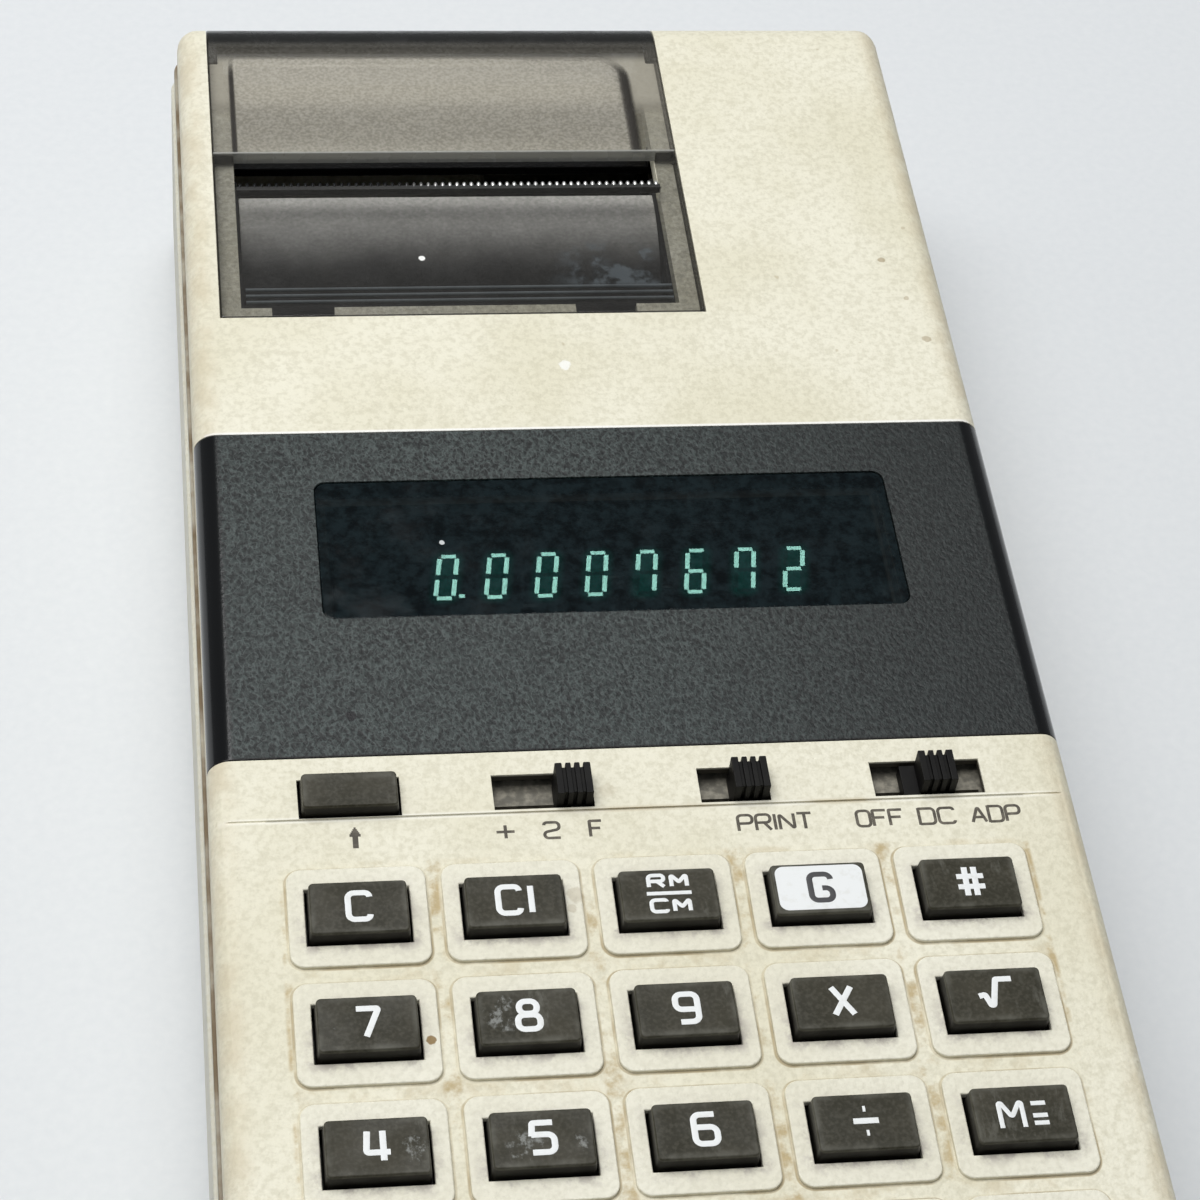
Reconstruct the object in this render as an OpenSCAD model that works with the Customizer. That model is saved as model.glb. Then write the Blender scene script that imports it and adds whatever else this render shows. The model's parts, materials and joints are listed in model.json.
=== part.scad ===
// Palm-size printing calculator: a flat two-part case, a keyboard, a display tube and a paper printer.
// +X is to the right, +Y to the back (printer end), +Z up. The origin is under the middle of the base.

/* [Case] */
// Width of the upper case
case_w = 87.6; // [86:0.2:96]
// Length of the upper case
case_l = 200; // [197:1:216]
// Height from the underside to the deck
body_h = 36; // [35:0.5:42]
// Wall thickness of both case halves
wall = 2; // [1.6:0.1:2.3]
// Depth of the upper case's skirt below the deck
skirt = 7; // [6.4:0.2:8]
// Fillet along the deck's long edges and the upright corners
edge_r = 2.5; // [2.4:0.1:3]
// Rounding over the back edge
back_r = 5; // [4.4:0.1:5.4]
// Rounding over the front edge
front_r = 4; // [3:0.5:5]
// How far the lower case stands out past the upper case
lip = 0.8; // [0.3:0.1:1.2]
// Height of the inset band under the seam
rim_h = 3; // [2:0.5:4]
// Inset of that band
rim_inset = 0.4; // [0.2:0.1:0.6]
// Rounding along the bottom edges of the lower case
base_r = 3; // [2:0.5:3.5]
// Open seam between the two case halves
seam_gap = 0.2; // [0.1:0.05:0.3]
// Height of the rubber feet
foot_h = 1.5; // [1:0.5:3]
// Diameter of the rubber feet
foot_d = 5; // [4:0.5:7]

/* [Keyboard] */
// Distance between key columns
col_pitch = 15; // [14.6:0.1:15.4]
// Distance between key rows
row_pitch = 13.1; // [12.7:0.1:13.5]
// Width of a key cap
cap_w = 9.65; // [8:0.05:10.4]
// Depth of a key cap, front to back
cap_l = 6; // [5:0.1:7]
// Height of a key cap above its pad
cap_h = 1.6; // [1.3:0.1:2.4]
// Inset of a cap's top face on each side
cap_taper = 0.25; // [0.1:0.05:0.5]
// How far a key goes down
key_travel = 1.2; // [0.8:0.1:1.4]
// Width of the raised pad round a key
pad_w = 13.5; // [12.4:0.1:14.2]
// Length of the raised pad round a key
pad_l = 11.3; // [10:0.1:12]
// Height of the raised pads
pad_h = 0.4; // [0.2:0.05:0.6]
// Corner radius of the raised pads
pad_r = 1.5; // [1:0.1:2]
// Plain deck between the front edge and the first pad
front_margin = 6.95; // [6:0.05:9]
// Depth of the paper feed key, front to back
feed_l = 4.25; // [3.6:0.05:4.6]

/* [Slide switches] */
// Front to back size of the switch slots
slot_l = 4.3; // [4:0.1:5]
// Width of the rounding switch's slot
rounding_slot_w = 10.05; // [9:0.05:11]
// Width of the print switch's slot
print_slot_w = 7.1; // [6:0.1:8]
// Width of the power switch's slot
power_slot_w = 11.4; // [10:0.1:12]
// Width of the ridged grip on a switch knob
grip_w = 3.6; // [3:0.1:4]
// Height of the knobs above the deck
grip_h = 2.1; // [1.5:0.1:3]

/* [Display] */
// Length of the dark display band
band_l = 44.5; // [42:0.5:46]
// Depth of the band's edge below the deck
band_t = 2.6; // [2.5:0.1:3.2]
// Width of the display window
window_w = 62.5; // [60:0.5:64]
// Length of the display window
window_l = 19.15; // [18:0.05:20]
// Corner radius of the display window
window_r = 1.3; // [0.8:0.1:2]
// Width of the display tube's glass
tube_w = 66; // [64:0.5:68]
// Thickness of the display tube's glass
tube_t = 6; // [5:0.5:6.5]

/* [Printer] */
// Width of the smoked windows
cover_w = 55.4; // [54:0.2:57]
// Left edge of the smoked windows from the left side of the case
cover_inset = 3.5; // [3.4:0.1:4]
// Length of the whole printer bay from the back edge
bay_l = 53.1; // [51:0.1:54]
// Length of the hinged paper cover
paper_cover_l = 25.7; // [25:0.1:26.5]
// Thickness of the smoked windows
cover_t = 1.7; // [1.4:0.1:2]
// Width of the border that carries the smoked windows
ledge = 2.5; // [2.3:0.1:3]
// Gap that the printed paper comes out of
exit_l = 4.9; // [4.2:0.1:5.1]
// Pitch of the tear bar's teeth
tooth_pitch = 0.85; // [0.7:0.05:1.2]
// Depth of the paper chute's floor at its front end
chute_front_d = 5; // [4.8:0.1:5.4]
// Depth of the paper chute's floor at the back
chute_back_d = 12; // [11.9:0.1:12.4]
// Radius of the curved paper guide
guide_r = 17; // [15:0.5:18]
// Diameter of the rubber platen
platen_d = 10; // [8:0.5:11]
// Diameter of the platen's shaft
shaft_d = 3; // [2.4:0.2:3.4]
// Gear module
gear_m = 0.5; // [0.48:0.01:0.52]
// Teeth on the platen's gear
platen_teeth = 32; // [30:1:34]
// Teeth on the idler gear
idler_teeth = 28; // [26:1:30]
// Teeth on the motor's pinion
pinion_teeth = 14; // [13:1:15]
// Width of the gears
gear_w = 3; // [2.4:0.2:3.2]
// Diameter of the motor
motor_d = 18; // [15:0.5:19]
// Length of the motor
motor_l = 19; // [16:0.5:20]

/* [Power] */
// Diameter of a battery cell
cell_d = 14.5; // [13.5:0.1:14.6]
// Length of a battery cell
cell_l = 50.5; // [44:0.5:51]
// Bore of the adapter socket
jack_d = 3.6; // [3.5:0.1:4]
// Diameter of the case screws
screw_d = 2.5; // [2:0.1:2.8]

/* [Hidden] */
$fn = 48;
KEYS = [
    "key_clear", "key_clear_entry", "key_recall_memory", "key_grand_total", "key_item",
    "key_7", "key_8", "key_9", "key_multiply", "key_square_root",
    "key_4", "key_5", "key_6", "key_divide", "key_memory_minus",
    "key_1", "key_2", "key_3", "key_minus", "key_memory_plus",
    "key_0", "key_point", "key_percent", "key_plus", "key_equals"
];

// Finishes
CREAM = [0.87, 0.85, 0.75];
CHARCOAL = [0.2, 0.22, 0.22];
SMOKE = [0.3, 0.29, 0.27];
DARK_GREEN = [0.06, 0.1, 0.1];
CAP_BROWN = [0.27, 0.26, 0.24];
KNOB_BLACK = [0.13, 0.13, 0.12];
RUBBER = [0.1, 0.1, 0.1];
BOARD_GREEN = [0.16, 0.35, 0.2];
STEEL = [0.7, 0.7, 0.72];
GEAR_WHITE = [0.9, 0.89, 0.84];
GREY = [0.45, 0.45, 0.43];
GLASS = [0.25, 0.3, 0.3];
SILICONE = [0.75, 0.74, 0.7];
EPOXY = [0.12, 0.12, 0.13];
JACKET = [0.5, 0.52, 0.55];

// Clearances: beside a sliding piece, under a seated piece, round a turning shaft, in a tight fit,
// and past a swept path
slide_gap = 0.25;
seat_gap = 0.1;
run_gap = 0.05;
fit_gap = 0.02;
sweep_gap = 0.3;
// Overlap that makes a cut run past a face
past = 1;
// How deep a boss, post or rib is rooted in the wall that carries it
root = 0.2;

// Heights
base_z = foot_h;
deck_z = foot_h + body_h;
seam_z = deck_z - skirt;
under_deck_z = deck_z - wall;
floor_z = base_z + wall;

// Case outlines
half_w = case_w / 2;
half_l = case_l / 2;
lower_w = case_w + 2 * lip;
lower_l = case_l + 2 * lip;
// Extra rounding inside the lid's corners, and inside the tub's
inner_ease = 0.3;
tub_ease = 1;

// Keyboard layout, from the front edge: in a short case the front margin gives way
cols = 5;
rows = len(KEYS) / cols;
strip_l = 13.75;
deck_min = 1.5;
contents_l = (rows - 1) * row_pitch + pad_l + strip_l + band_l + bay_l;
function col_x(c) = (c - (cols - 1) / 2) * col_pitch;
keys_front = min(front_margin, case_l - contents_l - deck_min);
front_row_y = -half_l + keys_front + pad_l / 2;
function row_y(r) = front_row_y + (rows - 1 - r) * row_pitch;
pads_back_y = row_y(0) + pad_l / 2;
switch_offset = 8.7;
score_offset = 6.15;
switch_y = pads_back_y + switch_offset;
score_y = pads_back_y + score_offset;
score_w = 0.3;
score_d = 0.2;
feed_x = col_x(0);

// Key construction under the deck
flange_t = 1;
flange_edge = 0.8;
plunger_r = 2;
plunger_l = 1.2;
flange_z = under_deck_z - seat_gap - flange_t;
plunger_z = flange_z - plunger_l;
dome_gap = 0.2;
sheet_t = 0.8;
dome_rest_h = 1.5;
dome_h = dome_rest_h + key_travel;
dome_r = 3.2;
sheet_edge = 0.6;
key_board_z = plunger_z - dome_gap - dome_h - sheet_t;
board_t = 1.6;

// Slide switches: slot centres and knob places at rest
rounding_x = -10.7;
print_x = 8.65;
power_x = 28.6;
power_shutter = 1.6;
power_base_w = grip_w + power_shutter;
knob_base_z = under_deck_z + seat_gap;
stem_w = 1.2;
stem_y = switch_y - slot_l / 2 + slide_gap + root + stem_w / 2;
stem_l = 3;
ridges = 4;
ridge_d = 0.35;
ridge_foot = 0.3;
shutter_d = 0.4;
body_edge = 1.2;
body_end = 1.8;
slot_relief = 0.8;
slot_edge_t = 0.9;
switch_slots = [[rounding_x, rounding_slot_w], [print_x, print_slot_w], [power_x, power_slot_w]];

// Display band, window and tube
band_y0 = pads_back_y + strip_l;
band_y1 = band_y0 + band_l;
band_floor_t = 1.4;
band_lap = 1;
band_floor_z = deck_z - band_t;
window_offset = 18.1;
window_y = band_y0 + window_offset + window_l / 2;
window_step = 1.4;
window_sink = 0.15;
tube_edge = 0.5;
tube_l = window_l + 2 * tube_edge;
tube_z = band_floor_z - band_floor_t - seat_gap - tube_t;
logic_board_z = tube_z - board_t;
logic_board_w = 68;
logic_board_edge = 2;
logic_board_lap = 5;
logic_board_y0 = band_y0 + logic_board_edge;
logic_board_y1 = min(band_y1 + logic_board_lap, half_l - bay_l - past);

// Printer bay
cover_x0 = -half_w + cover_inset;
cover_x1 = cover_x0 + cover_w;
cover_mid_x = (cover_x0 + cover_x1) / 2;
bay_y0 = half_l - bay_l;
split_y = half_l - paper_cover_l;
well_w = cover_w - 2 * ledge;
ledge_z = deck_z - cover_t - seat_gap;
ledge_t = 1.8;
hinge_y = half_l - back_r;
hinge_z = deck_z - back_r;
hinge_pin_r = 1.2;
hinge_pin_l = 4;
hinge_bite = 2;
ear_t = 1.2;
hinge_block = 3.2;
tab_w = 6.6;
tab_x = [6.2, 41];
tab_t = 1.3;
tab_h = 2;
front_border = 3.3;
bar_l = 1.2;
bar_t = 1;
bar_sink = 0.2;
tooth_h = 0.6;

// Chute floor: a straight slope from the split between the two windows to the back edge
chute_lead = 2.9;
chute_y0 = split_y + chute_lead;
chute_y1 = half_l + lip;
chute_t = 1.2;
chute_wall = 1.1;
chute_wall_y1 = hinge_y - back_r / 2 - 2 * sweep_gap;
chute_slope = (chute_back_d - chute_front_d) / (half_l - chute_y0);
function chute_z(y) = deck_z - chute_front_d - chute_slope * (y - chute_y0);
inlet_z = chute_z(half_l) - chute_t;
ear_sweep_z = hinge_z - back_r + 0.8;

// Printer mechanism
plate_t = 1.4;
plate_inset = 0.4;
plate_x0 = cover_x0 + ledge - plate_t + plate_inset;
plate_x1 = cover_x1 - ledge - plate_inset;
inner_w = plate_x1 - plate_x0 - plate_t;
frame_lead = 4;
frame_y0 = bay_y0 - frame_lead;
frame_y1 = split_y - 2 * sweep_gap;
frame_top = ledge_z - ledge_t - sweep_gap;
guide_t = 1.2;
guide_cut = 5;
guide_lip = 1.8;
guide_rest = 4;
guide_d = 3.6;
guide_y = split_y - exit_l - 2 * sweep_gap;
guide_z = deck_z - guide_d - guide_r;
guide_rest_z = guide_z + sqrt(pow(guide_r - guide_t, 2) - pow(guide_rest, 2)) - seat_gap;
platen_lead = 0.6;
platen_rise = 10;
platen_y = guide_y - guide_r + platen_d / 2 - platen_lead;
platen_z = floor_z + platen_rise;
nip_gap = 0.2;
mesh_gap = 0.1;
idler_angle = 35;
pinion_angle = -20;
idler_dist = gear_m * (platen_teeth + idler_teeth) / 2 + mesh_gap;
pinion_dist = gear_m * (idler_teeth + pinion_teeth) / 2 + mesh_gap;
idler_y = platen_y + idler_dist * cos(idler_angle);
idler_z = platen_z + idler_dist * sin(idler_angle);
pinion_y = idler_y + pinion_dist * cos(pinion_angle);
pinion_z = idler_z + pinion_dist * sin(pinion_angle);
gear_side = 0.6;
gear_x = plate_x1 + plate_t + gear_side;
stud_r = 1.5;
motor_x = plate_x1 - motor_l;
shaft_end = 0.4;
shaft_bite = 5;
motor_shaft_r = 1;
motor_boss_r = 3;
motor_boss_l = 1.2;
head_t = 4;
head_h = 11;
head_y = platen_y - platen_d / 2 - nip_gap - head_t;
spring_t = 0.4;
spring_w = 6;
roller_end = 1;

// Gear phases, so that a tooth of one wheel meets a gap of the next
function phase(angle, turn, teeth) = (angle - turn) * teeth / 360;
function mesh_turn(angle, phase_a, teeth) = angle + 180 - (0.5 - phase_a) * 360 / teeth;
platen_turn = 0;
idler_turn = mesh_turn(idler_angle, phase(idler_angle, platen_turn, platen_teeth), idler_teeth);
pinion_turn = mesh_turn(pinion_angle, phase(pinion_angle, idler_turn, idler_teeth), pinion_teeth);

// Batteries, door and fixings
cells = 4;
cell_gap = 0.4;
cell_pitch = cell_d + cell_gap;
box_side = 0.3;
box_w = cells * cell_pitch + 2 * box_side;
contact_l = 3.4;
box_l = cell_l + 2 * contact_l;
box_front = 15;
box_y = -half_l + box_front + box_l / 2;
box_wall = 1.4;
cell_rise = 0.2;
cell_room = 0.4;
box_h = cell_rise + cell_d + cell_room;
cell_z = floor_z + cell_rise + cell_d / 2;
door_edge = 0.3;
door_w = box_w + 2 * door_edge;
tongue = 0.8;
tongue_t = 0.7;
tongue_z = base_z + 0.7;
door_lap = 0.6;
door_y1 = box_y + box_l / 2 + door_lap;
boss_r = 3;
boss_l = 16;
boss_split_z = base_z + boss_l;
head_r = 2.4;
head_l = 1.8;
head_depth = 6;
head_z = base_z + head_depth;
screw_l = 20;
boss_side = 0.4;
boss_end = 0.5;
boss_x = half_w - wall - boss_r - boss_side;
boss_places = [
    [-boss_x, -half_l + wall + boss_r + boss_end],
    [boss_x, -half_l + wall + boss_r + boss_end],
    [-boss_x, (band_y0 + band_y1) / 2],
    [boss_x, (band_y0 + band_y1) / 2],
    [boss_x, half_l - wall - boss_r - 2 * boss_end]
];
foot_side = 0.3;
foot_end = 24;
foot_x = half_w + lip - base_r - foot_d / 2 - foot_side;
foot_y = half_l - foot_end;
foot_sink = 0.6;
post_r = 1.4;
peg_r = 0.9;
peg_end = 0.4;
post_side = 4.4;
post_x = half_w - wall - post_side;
post_places = [for (r = [0, 2, 4], s = [-1, 1]) [s * post_x, row_y(r) + row_pitch / 2]];
board_edge = 0.5;
key_board_w = 2 * (post_x + post_r + board_edge);
post_edge = 3;
logic_posts = [
    for (x = [-1, 1], y = [logic_board_y0 + post_edge, logic_board_y1 - post_edge])
        [x * (logic_board_w / 2 - post_edge), y]
];
jack_side = 13.8;
jack_rise = 6;
jack_x = half_w - jack_side;
jack_z = floor_z + jack_rise;
jack_body = 10;
jack_l = 7;
jack_nose_r = 3.6;
jack_back = 1;

// A flat rectangle with round corners, made of squares and circles
module round_rect(w, l, r) {
    square([w - 2 * r, l], center = true);
    square([w, l - 2 * r], center = true);
    for (x = [-1, 1], y = [-1, 1]) translate([x * (w / 2 - r), y * (l / 2 - r)]) circle(r);
}

// A flat rectangle that stands on the X axis, with its two upper corners round
module arch_rect(w, h, r) {
    translate([-w / 2, 0]) square([w, h - r]);
    translate([-w / 2 + r, 0]) square([w - 2 * r, h]);
    for (x = [-1, 1]) translate([x * (w / 2 - r), h - r]) circle(r);
}

// Extrudes a flat shape drawn in X and Z along Y, from y0 to y1
module along_y(y0, y1) {
    translate([0, y1, 0]) rotate([90, 0, 0]) linear_extrude(y1 - y0) children();
}

// Extrudes a flat shape drawn in Y and Z along X, from x0 to x1
module along_x(x0, x1) {
    translate([x0, 0, 0]) rotate([90, 0, 90]) linear_extrude(x1 - x0) children();
}

// A cylinder along X
module rod_x(r, x0, x1, y, z) {
    translate([x0, y, z]) rotate([0, 90, 0]) cylinder(r = r, h = x1 - x0);
}

// A block given by its low and high corners
module block(low, high) {
    translate(low) cube(high - low);
}

// Quarter of a round bar across the case, with its end rims rounded off
module quarter_bar(w, r, rim) {
    rotate_extrude(angle = 90) intersection() {
        translate([0, -w / 2]) square([r, w]);
        union() {
            translate([-r / 2, 0]) square([3 * r - 2 * rim, w], center = true);
            translate([-r / 2, 0]) square([3 * r, w - 2 * rim], center = true);
            for (s = [-1, 1]) translate([r - rim, s * (w / 2 - rim)]) circle(rim);
        }
    }
}

// The lid form: flat top at z = 0, round long edges, and rounded over at the front and the back
module lid_form(w, l, h, rim, front, back) {
    translate([0, 0, -h]) along_y(-l / 2 + front, l / 2 - back) arch_rect(w, h, rim);
    translate([0, l / 2 - back, -back]) rotate([90, 0, 90]) quarter_bar(w, back, rim);
    translate([0, -l / 2 + front, -front]) rotate([90, 0, 0]) rotate([90, 0, 90])
        quarter_bar(w, front, rim);
    translate([0, 0, -h]) linear_extrude(h - max(front, back)) round_rect(w, l, rim);
    translate([0, 0, -h]) linear_extrude(h - front) intersection() {
        round_rect(w, l, rim);
        translate([-w, -l / 2]) square([2 * w, l / 2]);
    }
    translate([0, 0, -h]) linear_extrude(h - back) intersection() {
        round_rect(w, l, rim);
        translate([-w, 0]) square([2 * w, l / 2]);
    }
}

module outer_lid(h) {
    translate([0, 0, deck_z]) lid_form(case_w, case_l, h, edge_r, front_r, back_r);
}

module inner_lid() {
    translate([0, 0, under_deck_z])
        lid_form(case_w - 2 * wall, case_l - 2 * wall, skirt - wall + past, edge_r - wall + inner_ease,
            front_r - wall + inner_ease, back_r - wall + inner_ease);
}

// The tub form of the lower case, with rounded bottom edges
module tub_form() {
    top = seam_z - rim_h;
    h = top - base_z;
    intersection() {
        translate([0, 0, base_z]) linear_extrude(h) round_rect(lower_w, lower_l, edge_r + lip);
        along_y(-lower_l, lower_l) translate([0, top]) mirror([0, 1]) arch_rect(lower_w, h, base_r);
        along_x(-lower_w, lower_w) translate([0, top]) mirror([0, 1]) arch_rect(lower_l, h, base_r);
    }
    translate([0, 0, floor_z]) linear_extrude(seam_z - floor_z)
        round_rect(lower_w - 2 * rim_inset, lower_l - 2 * rim_inset, edge_r + lip - rim_inset);
}

// Case halves
module upper_case() {
    color(CREAM) difference() {
        union() {
            difference() {
                outer_lid(skirt - seam_gap);
                inner_lid();
            }
            // Floor under the display band
            block([-half_w + wall / 2, band_y0 - band_lap, band_floor_z - band_floor_t],
                [half_w - wall / 2, band_y1 + band_lap, under_deck_z + root]);
            // Frame that carries the smoked windows
            block([cover_x0 - wall, bay_y0 - wall, ledge_z - ledge_t],
                [cover_x1 + wall, half_l - wall, under_deck_z + root]);
            // Blocks for the cover's hinge pins
            for (x = [[-half_w + wall / 2, cover_x0], [cover_x1, cover_x1 + hinge_block]])
                block([x[0], hinge_y - hinge_block, seam_z + seam_gap],
                    [x[1], hinge_y + hinge_block, under_deck_z + root]);
            // Raised key pads
            for (c = [0:cols - 1], r = [0:rows - 1])
                translate([col_x(c), row_y(r), deck_z - root])
                    linear_extrude(root + pad_h) round_rect(pad_w, pad_l, pad_r);
            // Screw bosses and board posts
            for (p = boss_places) translate([p[0], p[1], boss_split_z])
                cylinder(r = boss_r, h = under_deck_z + root - boss_split_z);
            for (p = post_places) board_post(p, key_board_z);
            for (p = logic_posts) board_post(p, logic_board_z + board_t);
        }
        // Seat of the display band, and the opening over the tube
        block([-case_w, band_y0, band_floor_z], [case_w, band_y1, deck_z + past]);
        translate([0, window_y, band_floor_z - band_floor_t - past])
            linear_extrude(band_floor_t + 2 * past)
                square([window_w - 2 * window_step, window_l - 2 * window_step], center = true);
        // Seat and opening of the printer bay, open through the back
        block([cover_x0, bay_y0, ledge_z], [cover_x1, half_l + past, deck_z + past]);
        block([cover_x0 + ledge, bay_y0 + front_border, seam_z - past],
            [cover_x1 - ledge, half_l + past, deck_z]);
        for (x = tab_x) block([cover_x0 + x - slide_gap, bay_y0, ledge_z - ledge_t - past],
            [cover_x0 + x + tab_w + slide_gap, bay_y0 + front_border + root, deck_z]);
        // Swept path of the cover's round back and its ears, and the pin bores
        rod_x(back_r + sweep_gap, cover_x0, cover_x1, hinge_y, hinge_z);
        block([cover_x0, hinge_y, seam_z - past], [cover_x1, half_l + past, hinge_z]);
        rod_x(hinge_pin_r + run_gap, cover_x0 - hinge_bite - sweep_gap,
            cover_x1 + hinge_bite + sweep_gap, hinge_y, hinge_z);
        // Key and switch apertures
        for (c = [0:cols - 1], r = [0:rows - 1])
            aperture(col_x(c), row_y(r), cap_w + 2 * slide_gap, cap_l + 2 * slide_gap);
        aperture(feed_x, switch_y, cap_w + 2 * slide_gap, feed_l + 2 * slide_gap);
        for (s = switch_slots) aperture(s[0], switch_y, s[1], slot_l);
        // Relief under the deck that leaves the switch slots a thin edge
        for (s = switch_slots)
            block([s[0] - s[1] / 2 - slot_relief, switch_y - slot_l / 2 - slot_relief, under_deck_z - past],
                [s[0] + s[1] / 2 + slot_relief, switch_y + slot_l / 2 + slot_relief, deck_z - slot_edge_t]);
        // Scored line under the switches
        block([-case_w, score_y - score_w / 2, deck_z - score_d],
            [case_w, score_y + score_w / 2, deck_z + past]);
        // Screw pilot holes
        for (p = boss_places) translate([p[0], p[1], boss_split_z - past])
            cylinder(r = screw_d / 2 + run_gap, h = head_z + screw_l - boss_split_z + 2 * past);
    }
}

module aperture(x, y, w, l) {
    block([x - w / 2, y - l / 2, under_deck_z - past], [x + w / 2, y + l / 2, deck_z + pad_h + past]);
}

// A post that hangs from the deck, with a peg through the board that it carries
module board_post(place, z) {
    translate([place[0], place[1], z]) cylinder(r = post_r, h = under_deck_z + root - z);
    translate([place[0], place[1], z - board_t - peg_end])
        cylinder(r = peg_r, h = board_t + peg_end + root);
}

module lower_case() {
    color(CREAM) difference() {
        union() {
            difference() {
                tub_form();
                translate([0, 0, floor_z]) linear_extrude(body_h)
                    round_rect(case_w - 2 * wall, case_l - 2 * wall, edge_r - wall + tub_ease);
            }
            // Battery box
            block([-box_w / 2 - box_wall, box_y - box_l / 2 - box_wall, floor_z - root],
                [box_w / 2 + box_wall, box_y + box_l / 2 + box_wall, floor_z + box_h + box_wall]);
            for (p = boss_places) translate([p[0], p[1], base_z + wall / 2])
                cylinder(r = boss_r, h = boss_split_z - base_z - wall / 2);
        }
        block([-box_w / 2, box_y - box_l / 2, base_z - past],
            [box_w / 2, box_y + box_l / 2, floor_z + box_h]);
        // Door opening with a groove on each side, open at the front
        block([-door_w / 2 - slide_gap, -lower_l, base_z - past],
            [door_w / 2 + slide_gap, door_y1, floor_z]);
        block([-door_w / 2 - tongue - slide_gap, -lower_l, tongue_z - seat_gap],
            [door_w / 2 + tongue + slide_gap, door_y1, tongue_z + tongue_t + seat_gap]);
        // Paper inlet, socket hole, screw holes and foot recesses
        block([cover_x0 + ledge - chute_wall - slide_gap, half_l - 2 * wall, inlet_z - run_gap],
            [cover_x1 - ledge + chute_wall + slide_gap, lower_l, seam_z + past]);
        block([cover_x0, half_l - 2 * wall, ear_sweep_z], [cover_x1, lower_l, seam_z + past]);
        translate([jack_x, half_l - 2 * wall, jack_z]) rotate([-90, 0, 0])
            cylinder(r = jack_nose_r + seat_gap, h = 4 * wall);
        for (p = boss_places) {
            translate([p[0], p[1], base_z - past])
                cylinder(r = head_r + slide_gap, h = head_depth + past);
            translate([p[0], p[1], base_z]) cylinder(r = screw_d / 2 + slide_gap, h = body_h);
        }
        for (x = [-1, 1], y = [-1, 1]) translate([x * foot_x, y * foot_y, base_z - past])
            cylinder(r = foot_d / 2 + run_gap, h = foot_sink + past);
    }
}

module battery_door() {
    grooves = 5;
    groove_y = 10;
    groove_pitch = 2;
    groove_w = 18;
    groove_d = 0.8;
    color(CREAM) difference() {
        intersection() {
            tub_form();
            union() {
                block([-door_w / 2, -lower_l, base_z],
                    [door_w / 2, door_y1 - slide_gap, floor_z - seat_gap]);
                block([-door_w / 2 - tongue, -lower_l, tongue_z],
                    [door_w / 2 + tongue, door_y1 - slide_gap, tongue_z + tongue_t]);
            }
        }
        // Finger grooves
        for (i = [0:grooves - 1]) translate([0, door_y1 - groove_y - i * groove_pitch, base_z])
            cube([groove_w, groove_d, groove_d], center = true);
    }
}

module feet() {
    color(RUBBER) for (x = [-1, 1], y = [-1, 1]) translate([x * foot_x, y * foot_y, 0])
        cylinder(r = foot_d / 2, h = foot_h + foot_sink);
}

module case_screws() {
    cross_w = 2.6;
    cross_t = 0.6;
    color(STEEL) for (p = boss_places) translate([p[0], p[1], head_z - head_l]) difference() {
        union() {
            cylinder(r = head_r, h = head_l);
            cylinder(r = screw_d / 2, h = head_l + screw_l);
        }
        for (a = [0, 90]) rotate(a) cube([cross_w, cross_t, head_l], center = true);
    }
}

// Display
module display_bezel() {
    color(CHARCOAL) difference() {
        intersection() {
            outer_lid(skirt);
            block([-case_w, band_y0 + seat_gap, band_floor_z],
                [case_w, band_y1 - seat_gap, deck_z + past]);
        }
        translate([0, window_y, band_floor_z - past]) linear_extrude(band_t + 2 * past)
            round_rect(window_w, window_l, window_r);
    }
}

module display_window() {
    color(DARK_GREEN) translate([0, window_y, band_floor_z]) linear_extrude(band_t - window_sink)
        round_rect(window_w - seat_gap, window_l - seat_gap, window_r);
}

module display_tube() {
    pin_pitch = 2.5;
    pin_count = 24;
    pin_w = 0.5;
    pin_t = 0.4;
    pin_l = 1.2;
    glass_edge = 0.8;
    color(GLASS) {
        translate([0, window_y, tube_z]) linear_extrude(tube_t) round_rect(tube_w, tube_l, glass_edge);
        for (i = [0:pin_count - 1])
            translate([(i - (pin_count - 1) / 2) * pin_pitch, window_y - tube_l / 2 - pin_l / 2 + root,
                tube_z + tube_t / 3]) cube([pin_w, pin_l, pin_t], center = true);
    }
}

// Printer windows
module print_window() {
    color(SMOKE) difference() {
        union() {
            block([cover_x0 + seat_gap, bay_y0 + seat_gap, deck_z - cover_t],
                [cover_x1 - seat_gap, split_y - seat_gap, deck_z]);
            for (x = tab_x) block([cover_x0 + x, bay_y0 + seat_gap, deck_z - cover_t - tab_h],
                [cover_x0 + x + tab_w, bay_y0 + seat_gap + tab_t, deck_z - cover_t + root]);
        }
        block([cover_x0 + ledge, split_y - exit_l - bar_l, ledge_z - past],
            [cover_x1 - ledge, split_y + past, deck_z + past]);
    }
}

module tear_bar() {
    bar_w = well_w - 2 * seat_gap;
    teeth = floor(bar_w / tooth_pitch);
    y0 = split_y - exit_l - bar_l;
    back = [
        [bar_w / 2, bar_l - tooth_h], [bar_w / 2, 0],
        [-bar_w / 2, 0], [-bar_w / 2, bar_l - tooth_h]
    ];
    edge = [
        for (i = [0:teeth - 1], k = [0, 1])
            [(i - teeth / 2 + k / 2) * tooth_pitch, bar_l - tooth_h + k * tooth_h]
    ];
    color(STEEL) translate([cover_mid_x, y0, deck_z - bar_sink - bar_t]) linear_extrude(bar_t)
        polygon(concat(back, edge));
}

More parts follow.
